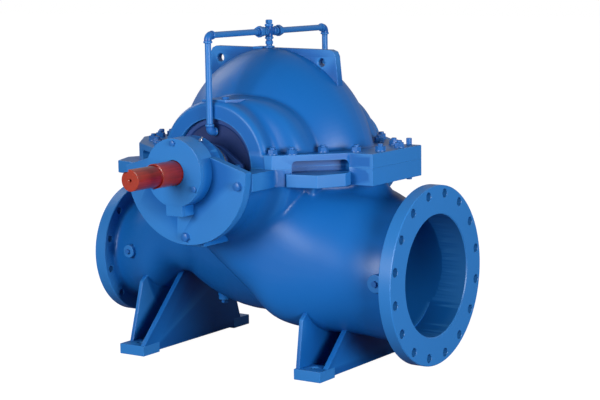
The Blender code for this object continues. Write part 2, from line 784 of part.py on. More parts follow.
def flushing(parts, tools):
    """The flushing pipe from the casing's crest to both seal covers."""
    made = []
    rim = (FITTING_RIM_R, FITTING_RIM_R)
    body = (FITTING_R, FITTING_R)
    cross = drum("flush_cross", "Z", (0, 0), 1.030, 1.078, body, parts, 16)
    arm = drum("cross_arm", "Y", (0, PIPE_Z), -0.024, 0.024, body, tools, 16)
    bands = [
        drum("cross_band_top", "Z", (0, 0), 1.071, 1.078, rim, tools, 16),
        drum("cross_band_low", "Z", (0, 0), 1.030, 1.037, rim, tools, 16),
        drum("cross_band_drive", "Y", (0, PIPE_Z), -0.024, -0.017, rim, tools, 16),
        drum("cross_band_far", "Y", (0, PIPE_Z), 0.017, 0.024, rim, tools, 16),
    ]
    combine(cross, "UNION", [arm] + bands, tools)
    made.append(cross)
    made.append(drum("flush_plug", "Z", (0, 0), 1.078 + GAP, 1.092, (0.0120, 0.0120), parts, 4))
    made.append(drum("flush_nipple", "Z", (0, 0), 1.008 + GAP, 1.030 - GAP, (0.0115, 0.0115), parts, 6))
    for end, side in (("drive", -1), ("far", 1)):
        low, high = sorted((side * (0.024 + GAP), side * 0.072))
        union = drum("flush_union_" + end, "Y", (0, PIPE_Z), low, high, (0.0125, 0.0125), parts, 16)
        low, high = sorted((side * 0.044, side * 0.062))
        nut = drum("union_nut_" + end, "Y", (0, PIPE_Z), low, high, (0.0185, 0.0185), tools, 6)
        combine(union, "UNION", [nut], tools)
        made.append(union)
        low, high = sorted((side * (0.072 + GAP), side * (PIPE_DOWN_Y - ELBOW_LEG - GAP)))
        made.append(drum("flush_pipe_top_" + end, "Y", (0, PIPE_Z), low, high, (PIPE_R, PIPE_R), parts, 16))
        corner = (0, side * PIPE_DOWN_Y, PIPE_Z)
        inward = (0, -side, 0)
        made.append(elbow("flush_elbow_top_" + end, corner, (inward, ELBOW_LEG), ((0, 0, -1), ELBOW_LEG), parts))
        low, high = PIPE_FOOT_Z + ELBOW_LEG + GAP, PIPE_Z - ELBOW_LEG - GAP
        made.append(
            drum("flush_pipe_down_" + end, "Z", (0, side * PIPE_DOWN_Y), low, high, (PIPE_R, PIPE_R), parts, 16)
        )
        corner = (0, side * PIPE_DOWN_Y, PIPE_FOOT_Z)
        reach = PIPE_DOWN_Y - 0.302 - GAP
        made.append(elbow("flush_elbow_low_" + end, corner, (inward, reach), ((0, 0, 1), ELBOW_LEG), parts))
    return made


def small_fittings(parts, tools):
    """The plugs, grease nipples and jacking pins."""
    made = []
    for end, side in (("drive", -1), ("far", 1)):
        plug_low = COLLAR_PAD_Z + GAP
        centre = (-side * 0.033, side * 0.288)
        plug = drum("collar_plug_" + end, "Z", centre, plug_low, plug_low + 0.009, (0.011, 0.011), parts, 6)
        made.append(plug)
        nipple_y = side * 0.446
        foot_z = SHAFT_Z + HOUSING_R + GAP
        nipple = drum("grease_nipple_" + end, "Z", (0, nipple_y), foot_z, foot_z + 0.017, (0.006, 0.003), parts, 8)
        nipple.matrix_world = turn_about_shaft(side * 30)
        made.append(nipple)
    made.append(drum("pin_right", "Z", (0.444, 0.131), JOINT_TOP + GAP, 0.716, (0.009, 0.009), parts, 14))
    made.append(drum("pin_left", "Z", (-0.470, 0.020), JOINT_TOP + GAP, 0.716, (0.009, 0.009), parts, 14))
    made.append(drum("plug_suction", "Y", (0.532, 0.312), -0.236, -0.226 - GAP, (0.011, 0.011), parts, 6))
    made.append(drum("plug_discharge", "Y", (-0.450, 0.325), -0.214, -0.204 - GAP, (0.012, 0.012), parts, 6))
    return made


def build():
    clear_scene()
    parts = new_collection("split_case_pump")
    tools = new_collection("cutters")
    tools.hide_render = True

    casings = [lower_casing(parts, tools), upper_casing(parts, tools)]
    for piece in casings:
        paint(piece, BLUE, 0.35, 0.0)

    turning = shaft(parts, tools)
    paint(turning, RED, 0.25, 0.0)
    wheel = impeller(parts)
    paint(wheel, BRONZE, 0.35, 0.9)

    for end, side in (("drive", -1), ("far", 1)):
        cover = seal_cover("seal_cover_" + end, side, parts)
        paint(cover, DARK_BLUE, 0.4, 0.0)
        bracket = bearing_bracket("bearing_bracket_" + end, side, parts, tools)
        paint(bracket, BLUE, 0.35, 0.0)
        lid = bearing_cover("bearing_cover_" + end, side, parts)
        paint(lid, BLUE, 0.35, 0.0)
        low, high = sorted((side * (BEARING_BACK_Y + GAP), side * (HOUSING_FACE_Y - GAP)))
        shaft_r = SHAFT_BODY_R if side < 0 else 0.030
        bearing = ring("bearing_" + end, shaft_r + BEARING_CLEARANCE, BEARING_R - GAP, low, high, parts)
        paint(bearing, STEEL, 0.3, 1.0)
        low, high = sorted((side * 0.328, side * 0.340))
        slinger = ring("slinger_" + end, 0.0400 + GAP, 0.068, low, high, parts, 32)
        paint(slinger, STEEL, 0.3, 1.0)

    for piece in flushing(parts, tools) + small_fittings(parts, tools):
        paint(piece, BLUE, 0.35, 0.0)

    base = bpy.data.objects.new("pump_base", None)
    parts.objects.link(base)
    base.location = (-(SUCTION_X + DISCHARGE_X) / 2, -(DRIVE_END_Y + FAR_END_Y) / 2, 0)
    for piece in list(parts.objects) + list(tools.objects):
        if piece is not base:
            piece.parent = base


build()
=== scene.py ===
"""Looks of the horizontal split case pump: cast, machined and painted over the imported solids.

Every piece is drawn from the point under the middle of the casing, as the pump stands on its feet: X along
the pipework (suction at +X), Y along the shaft (coupling end at -Y), Z up. settle() then moves it to the frame.
Sizes are in metres.
"""

import math

import bmesh
import bpy
import numpy as np
from mathutils import Matrix, Vector


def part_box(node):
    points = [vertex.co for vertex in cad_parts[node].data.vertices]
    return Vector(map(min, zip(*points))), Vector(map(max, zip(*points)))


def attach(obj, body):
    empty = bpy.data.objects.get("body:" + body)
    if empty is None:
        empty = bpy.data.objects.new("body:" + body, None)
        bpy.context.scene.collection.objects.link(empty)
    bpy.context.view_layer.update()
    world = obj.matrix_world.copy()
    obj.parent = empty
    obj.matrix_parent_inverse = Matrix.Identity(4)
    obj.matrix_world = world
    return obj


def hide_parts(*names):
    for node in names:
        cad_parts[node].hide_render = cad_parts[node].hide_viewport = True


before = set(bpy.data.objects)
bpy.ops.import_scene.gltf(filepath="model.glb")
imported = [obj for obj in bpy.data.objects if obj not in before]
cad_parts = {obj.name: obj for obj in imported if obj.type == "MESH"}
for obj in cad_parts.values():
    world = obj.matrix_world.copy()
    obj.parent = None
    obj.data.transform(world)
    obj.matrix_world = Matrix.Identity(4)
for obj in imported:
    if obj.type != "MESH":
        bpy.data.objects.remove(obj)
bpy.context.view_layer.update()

# Studio: a white sweep, one broad softbox at the left front, a weaker one at the right and a small weak one high at the
# left, behind the pump.
# The camera stands in front of the coupling end, a little towards the suction side, with a long lens.

shaft_low, shaft_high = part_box("shaft")
casing_low, casing_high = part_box("upper_casing")
SHAFT_Z = (shaft_low[2] + shaft_high[2]) / 2
CENTRE = Vector(((shaft_low[0] + shaft_high[0]) / 2, (casing_low[1] + casing_high[1]) / 2, 0.0))
SENSOR_WIDTH = 36.0
LENS = 100.48
CAMERA_PLACE = Vector((3.1266, -4.4466, 1.2682))
CAMERA_RIGHT = Vector((0.82870, 0.55951, -0.01471))
CAMERA_UP = Vector((-0.06603, 0.12383, 0.99010))
SWEEP_SIZE = 60.0


def in_scene(name, data):
    """Puts data in the scene as an object of that name."""
    obj = bpy.data.objects.new(name, data)
    bpy.context.scene.collection.objects.link(obj)
    return obj


camera_data = bpy.data.cameras.new("camera")
camera_data.sensor_width = SENSOR_WIDTH
camera_data.lens = LENS
camera_data.clip_end = 100.0
camera = in_scene("camera", camera_data)
backwards = CAMERA_RIGHT.cross(CAMERA_UP)
turn = Matrix((CAMERA_RIGHT, CAMERA_UP, backwards)).transposed()
camera.matrix_world = Matrix.Translation(CAMERA_PLACE + CENTRE) @ turn.to_4x4()
bpy.context.scene.camera = camera
bpy.context.scene.view_settings.view_transform = "Standard"


def softbox(name, place, aim, size, power, colour=(1.0, 1.0, 1.0)):
    """A rectangular lamp at a place, facing a point."""
    data = bpy.data.lights.new(name, "AREA")
    data.shape = "RECTANGLE"
    data.size, data.size_y = size
    data.energy = power
    data.color = colour
    lamp = in_scene(name, data)
    lamp.location = place
    lamp.rotation_euler = (Vector(aim) - Vector(place)).to_track_quat("-Z", "Y").to_euler()
    return lamp


softbox("key_box", (-0.9, -5.6, 2.0), (0.0, 0.0, 0.5), (2.4, 2.4), 280.0)
softbox("fill_box", (5.2, -1.8, 1.2), (0.0, 0.0, 0.4), (2.4, 2.0), 260.0)
softbox("left_box", (-4.4, 1.0, 3.4), (0.0, 0.0, 0.7), (2.4, 2.4), 50.0)


def lit_world():
    """White behind the pump, and a softer light from all round that falls off towards the ground."""
    world = bpy.data.worlds.new("studio")
    world.use_nodes = True
    bpy.context.scene.world = world
    nodes = world.node_tree.nodes
    links = world.node_tree.links
    shown = nodes["Background"]
    shown.inputs["Strength"].default_value = 1.0
    room = nodes.new("ShaderNodeBackground")
    room.inputs["Strength"].default_value = 1.0
    place = nodes.new("ShaderNodeTexCoord")
    height = nodes.new("ShaderNodeSeparateXYZ")
    fall = nodes.new("ShaderNodeValToRGB")
    fall.color_ramp.elements[0].position = 0.30
    fall.color_ramp.elements[0].color = (0.30, 0.28, 0.36, 1.0)
    fall.color_ramp.elements[1].position = 0.80
    fall.color_ramp.elements[1].color = (1.0, 1.0, 1.0, 1.0)
    lift = nodes.new("ShaderNodeMapRange")
    lift.inputs["From Min"].default_value = -1.0
    behind = nodes.new("ShaderNodeMapRange")
    behind.interpolation_type = "SMOOTHSTEP"
    behind.inputs["From Min"].default_value = -0.1
    behind.inputs["From Max"].default_value = 0.9
    behind.inputs["To Min"].default_value = 0.10
    behind.inputs["To Max"].default_value = 0.55
    ray = nodes.new("ShaderNodeLightPath")
    choose = nodes.new("ShaderNodeMixShader")
    links.new(place.outputs["Generated"], height.inputs[0])
    links.new(height.outputs["Z"], lift.inputs["Value"])
    links.new(lift.outputs["Result"], fall.inputs["Fac"])
    links.new(height.outputs["Y"], behind.inputs["Value"])
    links.new(behind.outputs["Result"], room.inputs["Strength"])
    links.new(fall.outputs["Color"], room.inputs["Color"])
    shown.inputs["Color"].default_value = (1.0, 1.0, 1.0, 1.0)
    links.new(ray.outputs["Is Camera Ray"], choose.inputs["Fac"])
    links.new(room.outputs["Background"], choose.inputs[1])
    links.new(shown.outputs["Background"], choose.inputs[2])
    links.new(choose.outputs["Shader"], nodes["World Output"].inputs["Surface"])


lit_world()


def sweep_paper():
    """Matt white paper. It is lit to full white for the camera, and sends little light back under the pump."""
    material = bpy.data.materials.new("sweep_paper")
    material.use_nodes = True
    nodes = material.node_tree.nodes
    links = material.node_tree.links
    paper = nodes["Principled BSDF"]
    paper.inputs["Base Color"].default_value = (0.16, 0.13, 0.20, 1.0)
    paper.inputs["Roughness"].default_value = 0.9
    paper.inputs["Specular IOR Level"].default_value = 0.0
    glow = nodes.new("ShaderNodeEmission")
    glow.inputs["Strength"].default_value = 0.985
    bright = nodes.new("ShaderNodeAddShader")
    ray = nodes.new("ShaderNodeLightPath")
    choose = nodes.new("ShaderNodeMixShader")
    links.new(paper.outputs["BSDF"], bright.inputs[0])
    links.new(glow.outputs["Emission"], bright.inputs[1])
    links.new(ray.outputs["Is Camera Ray"], choose.inputs["Fac"])
    links.new(paper.outputs["BSDF"], choose.inputs[1])
    links.new(bright.outputs["Shader"], choose.inputs[2])
    links.new(choose.outputs["Shader"], nodes["Material Output"].inputs["Surface"])
    return material


def sweep():
    """The floor, level with the undersides of the feet."""
    bm = bmesh.new()
    bmesh.ops.create_grid(bm, x_segments=1, y_segments=1, size=SWEEP_SIZE / 2)
    mesh = bpy.data.meshes.new("sweep")
    bm.to_mesh(mesh)
    bm.free()
    mesh.materials.append(sweep_paper())
    return in_scene("sweep", mesh)


sweep()


# Paint: two-pack blue enamel over primed grey iron. It is satin with a faint orange peel, and the sand grain of the
# castings shows through on large faces. Its colour also holds painted light: a paler painted highlight line on edges
# and painted shade in inner corners. All the blue pieces share it.

BLUE = (0.006, 0.118, 0.405, 1.0)
PALE_BLUE = (0.040, 0.230, 0.580, 1.0)
DEEP_BLUE = (0.003, 0.056, 0.240, 1.0)


def new_group(name, inputs, outputs):
    """An empty shader group with float inputs (name, value) and named outputs (name, kind)."""
    tree = bpy.data.node_groups.new(name, "ShaderNodeTree")
    for label, value in inputs:
        socket = tree.interface.new_socket(label, in_out="INPUT", socket_type="NodeSocketFloat")
        socket.default_value = value
    for label, kind in outputs:
        tree.interface.new_socket(label, in_out="OUTPUT", socket_type=kind)
    entry = tree.nodes.new("NodeGroupInput")
    leave = tree.nodes.new("NodeGroupOutput")
    return tree, entry, leave


def noise(nodes, links, place, scale, detail):
    """A noise texture on the piece's own coordinates, with scale in grains a metre."""
    grain = nodes.new("ShaderNodeTexNoise")
    grain.inputs["Scale"].default_value = scale
    grain.inputs["Detail"].default_value = detail
    links.new(place, grain.inputs["Vector"])
    return grain.outputs["Fac"]


def maths(nodes, links, operation, first, second):
    """A Math node of two sockets or numbers."""
    node = nodes.new("ShaderNodeMath")
    node.operation = operation
    for socket, value in zip(node.inputs, (first, second)):
        if isinstance(value, bpy.types.NodeSocket):
            links.new(value, socket)
        else:
            socket.default_value = value
    return node.outputs["Value"]


def cast_skin():
    """The relief of painted iron: sand grain, orange peel and slow hand-finished waves, as one height."""
    tree, entry, leave = new_group(
        "cast_skin",
        (("Grain", 1.0), ("Peel", 1.0), ("Waves", 1.0)),
        (("Height", "NodeSocketFloat"), ("Mottle", "NodeSocketFloat")),
    )
    nodes, links = tree.nodes, tree.links
    place = nodes.new("ShaderNodeTexCoord").outputs["Object"]
    sand = noise(nodes, links, place, 260.0, 3.0)
    peel = noise(nodes, links, place, 900.0, 1.0)
    waves = noise(nodes, links, place, 9.0, 1.0)
    sand = maths(nodes, links, "MULTIPLY", sand, entry.outputs["Grain"])
    peel = maths(nodes, links, "MULTIPLY", peel, entry.outputs["Peel"])
    waves = maths(nodes, links, "MULTIPLY", waves, entry.outputs["Waves"])
    fine = maths(nodes, links, "ADD", maths(nodes, links, "MULTIPLY", sand, 0.6), maths(nodes, links, "MULTIPLY", peel, 0.25))
    total = maths(nodes, links, "ADD", fine, maths(nodes, links, "MULTIPLY", waves, 4.0))
    links.new(total, leave.inputs["Height"])
    links.new(noise(nodes, links, place, 5.0, 4.0), leave.inputs["Mottle"])
    return tree


def painted_edge_and_corner_light():
    """Masks from the mesh's own sharpness: outer edges (Edge) for painted highlight lines, inner corners (Corner) for
    painted shade.
    """
    tree, entry, leave = new_group(
        "painted_edge_and_corner_light",
        (("Width", 0.04),),
        (("Edge", "NodeSocketFloat"), ("Corner", "NodeSocketFloat")),
    )
    nodes, links = tree.nodes, tree.links
    sharp = nodes.new("ShaderNodeNewGeometry").outputs["Pointiness"]
    for label, sign in (("Edge", 1.0), ("Corner", -1.0)):
        away = maths(nodes, links, "MULTIPLY", maths(nodes, links, "SUBTRACT", sharp, 0.5), sign)
        share = maths(nodes, links, "DIVIDE", away, entry.outputs["Width"])
        node = nodes.new("ShaderNodeClamp")
        links.new(share, node.inputs["Value"])
        links.new(node.outputs["Result"], leave.inputs[label])
    return tree


CAST_SKIN = cast_skin()
PAINTED_EDGE_AND_CORNER_LIGHT = painted_edge_and_corner_light()


def enamel(name, colour, pale, deep, roughness=0.36, grain=1.0, waves=1.0):
    """Satin enamel on iron, with a painted highlight line on its edges and painted shade in its corners. grain is 0 on
    turned pieces and 1 on rough castings.
    """
    material = bpy.data.materials.new(name)
    material.use_nodes = True
    nodes = material.node_tree.nodes
    links = material.node_tree.links
    shader = nodes["Principled BSDF"]
    skin = nodes.new("ShaderNodeGroup")
    skin.node_tree = CAST_SKIN
    skin.inputs["Grain"].default_value = grain
    skin.inputs["Waves"].default_value = waves
    edges = nodes.new("ShaderNodeGroup")
    edges.node_tree = PAINTED_EDGE_AND_CORNER_LIGHT
    mottle = nodes.new("ShaderNodeMix")
    mottle.data_type = "RGBA"
    mottle.inputs["A"].default_value = colour
    mottle.inputs["B"].default_value = deep
    links.new(maths(nodes, links, "MULTIPLY", skin.outputs["Mottle"], 0.22), mottle.inputs["Factor"])
    # Painted shade: inner corners and creases are darkened towards the deep blue.
    painted_corner_shade = nodes.new("ShaderNodeMix")
    painted_corner_shade.data_type = "RGBA"
    painted_corner_shade.inputs["B"].default_value = deep
    links.new(mottle.outputs["Result"], painted_corner_shade.inputs["A"])
    links.new(maths(nodes, links, "MULTIPLY", edges.outputs["Corner"], 0.5), painted_corner_shade.inputs["Factor"])
    # Painted highlight: outer edges are lightened towards the pale blue.
    painted_edge_highlight = nodes.new("ShaderNodeMix")
    painted_edge_highlight.data_type = "RGBA"
    painted_edge_highlight.inputs["B"].default_value = pale
    links.new(painted_corner_shade.outputs["Result"], painted_edge_highlight.inputs["A"])
    links.new(maths(nodes, links, "MULTIPLY", edges.outputs["Edge"], 0.55), painted_edge_highlight.inputs["Factor"])
    links.new(painted_edge_highlight.outputs["Result"], shader.inputs["Base Color"])
    links.new(
        maths(nodes, links, "ADD", maths(nodes, links, "MULTIPLY", skin.outputs["Mottle"], 0.10), roughness - 0.05),
        shader.inputs["Roughness"],
    )
    shader.inputs["Specular IOR Level"].default_value = 0.30
    relief = nodes.new("ShaderNodeBump")
    relief.inputs["Strength"].default_value = 0.35
    relief.inputs["Distance"].default_value = 0.0006
    links.new(skin.outputs["Height"], relief.inputs["Height"])
    links.new(relief.outputs["Normal"], shader.inputs["Normal"])
    return material


CAST_PAINT = enamel("blue_enamel_cast", BLUE, PALE_BLUE, DEEP_BLUE)
TURNED_PAINT = enamel("blue_enamel_turned", BLUE, PALE_BLUE, DEEP_BLUE, roughness=0.33, grain=0.2, waves=0.2)


# Lower casing: one grey iron casting with both pipe necks, the split flange, the bearing cradles and the feet.
# It is cast, fettled and then machined at the joint, the pipe flanges, the cradles and the bores.

NOZZLE = (0.015, 0.305)
SUCTION_X = 0.610
SUCTION_FLANGE = dict(radius=0.2825, thick=0.043, bore=0.192, circle=0.2575, hole=0.014, holes=16)
DISCHARGE_X = -0.590
DISCHARGE_FLANGE = dict(radius=0.2225, thick=0.043, bore=0.150, circle=0.200, hole=0.0115, holes=12)
JOINT_TOP = 0.694
JOINT_BOTTOM = 0.596
LUG_TOP = 0.637
GAP = 0.0003
SKIN = 0.0006
GRAIN = 0.0052
COLLAR_FACE_Y = 0.316
COLLAR_R = 0.205
RECESS_R = 0.148
RECESS_FLOOR_Y = 0.288
COLLAR_PAD_Z = 0.856
CRADLE_Y = 0.430
CRADLE_HALF = 0.232
CRADLE_R = 0.214
BRACKET_R = 0.228
FOOT_LEFT = (-0.417, -0.316)
FOOT_RIGHT = (0.278, 0.376)
FOOT_HALF = 0.296
PAD_H = 0.034
LEFT_WEBS = (((0.246, PAD_H), (0.187, 0.224), (0.140, 0.262)), ((0.290, PAD_H), (0.040, 0.282), (0.007, 0.300)))
RIGHT_WEBS = (((0.287, PAD_H), (0.264, 0.182), (0.200, 0.235)), ((0.252, PAD_H), (0.120, 0.155), (-0.021, 0.240)))
DRAIN_X = -0.200


def object_from(name, bm):
    """Makes an object of a bmesh, closed and facing out."""
    bmesh.ops.recalc_face_normals(bm, faces=bm.faces)
    mesh = bpy.data.meshes.new(name)
    bm.to_mesh(mesh)
    bm.free()
    return in_scene(name, mesh)


def box(name, low, high):
    """An upright box between two corners."""
    bm = bmesh.new()
    bmesh.ops.create_cube(bm, size=1.0)
    bmesh.ops.scale(bm, vec=[b - a for a, b in zip(low, high)], verts=bm.verts)
    bmesh.ops.translate(bm, vec=[(a + b) / 2 for a, b in zip(low, high)], verts=bm.verts)
    return object_from(name, bm)


def along(axis):
    """The turn that lays a cylinder's own Z along the named axis."""
    turns = {
        "X": Matrix.Rotation(math.radians(90), 4, "Y"),
        "Y": Matrix.Rotation(math.radians(-90), 4, "X"),
        "Z": Matrix.Identity(4),
    }
    return turns[axis]


def drum(name, axis, centre, start, end, radii, sides=96):
    """A cylinder or cone from start to end along an axis. centre holds the other two coordinates."""
    bm = bmesh.new()
    bmesh.ops.create_cone(bm, cap_ends=True, segments=sides, radius1=radii[0], radius2=radii[1], depth=end - start)
    bmesh.ops.transform(bm, matrix=along(axis), verts=bm.verts)
    middle = (start + end) / 2
    places = {
        "X": (middle, centre[0], centre[1]),
        "Y": (centre[0], middle, centre[1]),
        "Z": (centre[0], centre[1], middle),
    }
    bmesh.ops.translate(bm, vec=places[axis], verts=bm.verts)
    return object_from(name, bm)


def prism(name, points, low, high, axis="Z"):
    """A flat outline given thickness between two heights along an axis. Points are (x, y), (x, z) or (y, z)."""
    bm = bmesh.new()
    place = {
        "Z": lambda a, b, h: (a, b, h),
        "Y": lambda a, b, h: (a, h, b),
        "X": lambda a, b, h: (h, a, b),
    }[axis]
    floor = [bm.verts.new(place(a, b, low)) for a, b in points]
    roof = [bm.verts.new(place(a, b, high)) for a, b in points]
    bm.faces.new(floor)
    bm.faces.new(roof)
    for i in range(len(points)):
        j = (i + 1) % len(points)
        bm.faces.new((floor[i], floor[j], roof[j], roof[i]))
    return object_from(name, bm)


def bevelled(obj, width, segments=2):
    """Breaks the piece's real corners."""
    step = obj.modifiers.new("break_edges", "BEVEL")
    step.width = width
    step.segments = segments
    step.limit_method = "ANGLE"
    step.angle_limit = math.radians(25)
    return solid(obj)


def solid(obj):
    """Turns what the modifiers make into the piece's own mesh, with its place in the mesh."""
    graph = bpy.context.evaluated_depsgraph_get()
    mesh = bpy.data.meshes.new_from_object(obj.evaluated_get(graph))
    obj.modifiers.clear()
    obj.data = mesh
    mesh.transform(obj.matrix_world)
    obj.matrix_world = Matrix.Identity(4)
    return obj


def combine(obj, operation, tools):
    """Joins tools to the piece (UNION) or cuts them out (DIFFERENCE), one after the other, and drops them."""
    for tool in tools:
        step = obj.modifiers.new(tool.name, "BOOLEAN")
        step.operation = operation
        step.solver = "MANIFOLD"
        step.object = tool
    solid(obj)
    for tool in tools:
        bpy.data.objects.remove(tool)
    return obj


def loft(name, rings):
    """A body through rings of equal count, closed at both ends."""
    bm = bmesh.new()
    rows = [[bm.verts.new(point) for point in ring] for ring in rings]
    count = len(rows[0])
    for low, high in zip(rows, rows[1:]):
        for i in range(count):
            j = (i + 1) % count
            bm.faces.new((low[i], low[j], high[j], high[i]))
    bm.faces.new(rows[0])
    bm.faces.new(rows[-1])
    return object_from(name, bm)


def between(rows, count):
    """More rows of numbers, on a smooth curve through the given ones."""
    found = []
    for i in range(len(rows) - 1):
        before = rows[max(i - 1, 0)]
        after = rows[min(i + 2, len(rows) - 1)]
        for step in range(count):
            t = step / count
            row = []
            for a, b, c, d in zip(before, rows[i], rows[i + 1], after):
                bend = (c - a) * t + (2 * a - 5 * b + 4 * c - d) * t**2 + (3 * b - a - 3 * c + d) * t**3
                row.append(b + bend / 2)
            found.append(tuple(row))
    found.append(tuple(rows[-1]))
    return found


def curve_at(table, place):
    """The value at a place on a smooth curve through (place, value) rows."""
    rows = np.array(table)
    slopes = np.gradient(rows[:, 1], rows[:, 0])
    i = int(np.clip(np.searchsorted(rows[:, 0], place) - 1, 0, len(rows) - 2))
    width = rows[i + 1, 0] - rows[i, 0]
    t = (place - rows[i, 0]) / width
    start = rows[i, 1] * (2 * t**3 - 3 * t**2 + 1) + slopes[i] * width * (t**3 - 2 * t**2 + t)
    end = rows[i + 1, 1] * (3 * t**2 - 2 * t**3) + slopes[i + 1] * width * (t**3 - t**2)
    return start + end


def turned(name, profile, axis="Y", centre=(0.0, SHAFT_Z), steps=96):
    """A shape turned about an axis. The profile is (radius, place), closed, with radius 0 only at its ends."""
    bm = bmesh.new()
    rings = []
    for radius, place in profile:
        if radius == 0:
            rings.append([bm.verts.new((0, 0, place))])
            continue
        turns = [2 * math.pi * i / steps for i in range(steps)]
        rings.append([bm.verts.new((radius * math.cos(t), radius * math.sin(t), place)) for t in turns])
    pairs = list(zip(rings, rings[1:] + rings[:1]))
    for low, high in pairs:
        for i in range(steps):
            j = (i + 1) % steps
            corners = []
            for vert in (low[i % len(low)], low[j % len(low)], high[j % len(high)], high[i % len(high)]):
                if vert not in corners:
                    corners.append(vert)
            if len(corners) > 2:
                bm.faces.new(corners)
    bmesh.ops.transform(bm, matrix=along(axis), verts=bm.verts)
    shift = {"X": (0, centre[0], centre[1]), "Y": (centre[0], 0, centre[1]), "Z": (centre[0], centre[1], 0)}
    bmesh.ops.translate(bm, vec=shift[axis], verts=bm.verts)
    return object_from(name, bm)


def rings_round_shaft(first, last, step, outline):
    """Rings that stand on the shaft's axis, from the discharge side over the top. The outline is made for each angle."""
    rings = []
    for angle in np.arange(first, last + 0.1, step):
        way = math.radians(180 - angle)
        rings.append([(r * math.cos(way), y, SHAFT_Z + r * math.sin(way)) for y, r in outline(angle)])
    return rings


VOLUTE_GROWTH = (
    (0, 0.326),
    (45, 0.334),
    (90, 0.353),
    (135, 0.360),
    (180, 0.374),
    (205, 0.396),
    (225, 0.438),
    (240, 0.486),
    (252, 0.508),
    (270, 0.510),
    (330, 0.505),
)
VOLUTE_DROPS = (
    (0.207, 0.198),
    (0.200, 0.168),
    (0.186, 0.138),
    (0.166, 0.106),
    (0.140, 0.073),
    (0.108, 0.043),
    (0.074, 0.020),
    (0.038, 0.005),
    (0.000, 0.000),
)
BARREL_FULLNESS = ((0, 0.206), (60, 0.207), (90, 0.211), (105, 0.218), (125, 0.242), (145, 0.268), (165, 0.282), (180, 0.288))


def volute_outline(angle):
    """The spiral casing's section at an angle: it grows from the tongue on the discharge side."""
    crest = curve_at(VOLUTE_GROWTH, angle)
    half = [(y, crest - drop) for y, drop in between(VOLUTE_DROPS, 4)]
    return [(-y, reach) for y, reach in half[:-1]] + half[::-1] + [(0.207, 0.020), (-0.207, 0.020)]


def barrel_outline(angle):
    """The inlet chambers' roof: level with the collars on the discharge side, fuller towards the suction."""
    swell = curve_at(BARREL_FULLNESS, angle) - COLLAR_R
    rows = (
        (COLLAR_FACE_Y, COLLAR_R - 0.014),
        (0.3105, COLLAR_R - 0.0065),
        (0.303, COLLAR_R - 0.0018),
        (0.292, COLLAR_R),
        (0.268, COLLAR_R + 0.08 * swell),
        (0.252, COLLAR_R + 0.50 * swell),
        (0.236, COLLAR_R + 0.80 * swell),
        (0.214, COLLAR_R + 0.95 * swell),
        (0.190, COLLAR_R + swell),
    )
    half = between(rows, 3)
    return [(-y, reach) for y, reach in half] + half[::-1] + [(COLLAR_FACE_Y, 0.020), (-COLLAR_FACE_Y, 0.020)]


def oval(x, centre, half, power, count=96):
    """A superellipse across the pipework at x. power 2 is an ellipse, more is squarer."""
    ring = []
    for i in range(count):
        way = 2 * math.pi * i / count
        c = math.cos(way)
        s = math.sin(way)
        y = centre[0] + half[0] * math.copysign(abs(c) ** (2 / power), c)
        z = centre[1] + half[1] * math.copysign(abs(s) ** (2 / power), s)
        ring.append((x, y, z))
    return ring


SUCTION_SECTIONS = (
    (-0.170, 0.560, 0.288, 0.128, 5.0),
    (-0.090, 0.520, 0.296, 0.148, 5.0),
    (0.000, 0.470, 0.300, 0.172, 4.5),
    (0.080, 0.420, 0.301, 0.198, 3.8),
    (0.160, 0.392, 0.300, 0.242, 4.0),
    (0.240, 0.361, 0.290, 0.243, 3.1),
    (0.320, 0.345, 0.274, 0.238, 2.5),
    (0.400, 0.331, 0.252, 0.230, 2.2),
    (0.460, 0.315, 0.234, 0.223, 2.1),
    (0.520, 0.305, 0.222, 0.219, 2.0),
    (0.575, 0.305, 0.220, 0.217, 2.0),
)
DISCHARGE_SECTIONS = (
    (-0.560, 0.305, 0.166, 0.163, 2.0),
    (-0.520, 0.307, 0.173, 0.168, 2.0),
    (-0.470, 0.316, 0.188, 0.170, 2.1),
    (-0.400, 0.346, 0.206, 0.166, 2.4),
    (-0.320, 0.402, 0.212, 0.158, 2.5),
    (-0.240, 0.430, 0.214, 0.184, 2.6),
    (-0.150, 0.450, 0.208, 0.190, 2.6),
)


def suction_body():
    """The cast neck from the suction flange up to the two inlet chambers."""
    rings = [oval(x, (NOZZLE[0] * max(0, x) / 0.575, zc), (a, b), p) for x, zc, a, b, p in between(SUCTION_SECTIONS, 6)]
    return loft("suction_body", rings)


def discharge_body():
    """The cast neck from the volute down to the discharge flange."""
    rings = [oval(x, (NOZZLE[0] * x / -0.560, zc), (a, b), p) for x, zc, a, b, p in between(DISCHARGE_SECTIONS, 6)]
    return loft("discharge_body", rings)


def neck_post():
    """The short post between the suction neck's top and the split flange, widening downwards."""
    rows = between(((0.165, 0.498), (0.134, 0.524), (0.109, 0.550), (0.090, 0.575), (0.080, 0.602)), 3)
    turns = [2 * math.pi * i / 72 for i in range(72)]
    return loft(
        "neck_post",
        [[(0.330 + r * math.cos(t), NOZZLE[0] + r * math.sin(t), z) for t in turns] for r, z in rows],
    )


def chamber_low():
    """The inlet chambers round the shaft, whose end walls run into the cradles with a hollow."""
    rows = ((0.190, 0.334), (0.214, 0.334), (0.221, 0.316), (0.236, 0.303), (0.254, 0.292), (0.266, 0.274))
    half = between(rows, 3)
    return turned("chamber_low", [(0.0, 0.334)] + half + [(r, -y) for r, y in reversed(half)] + [(0.0, -0.334)])


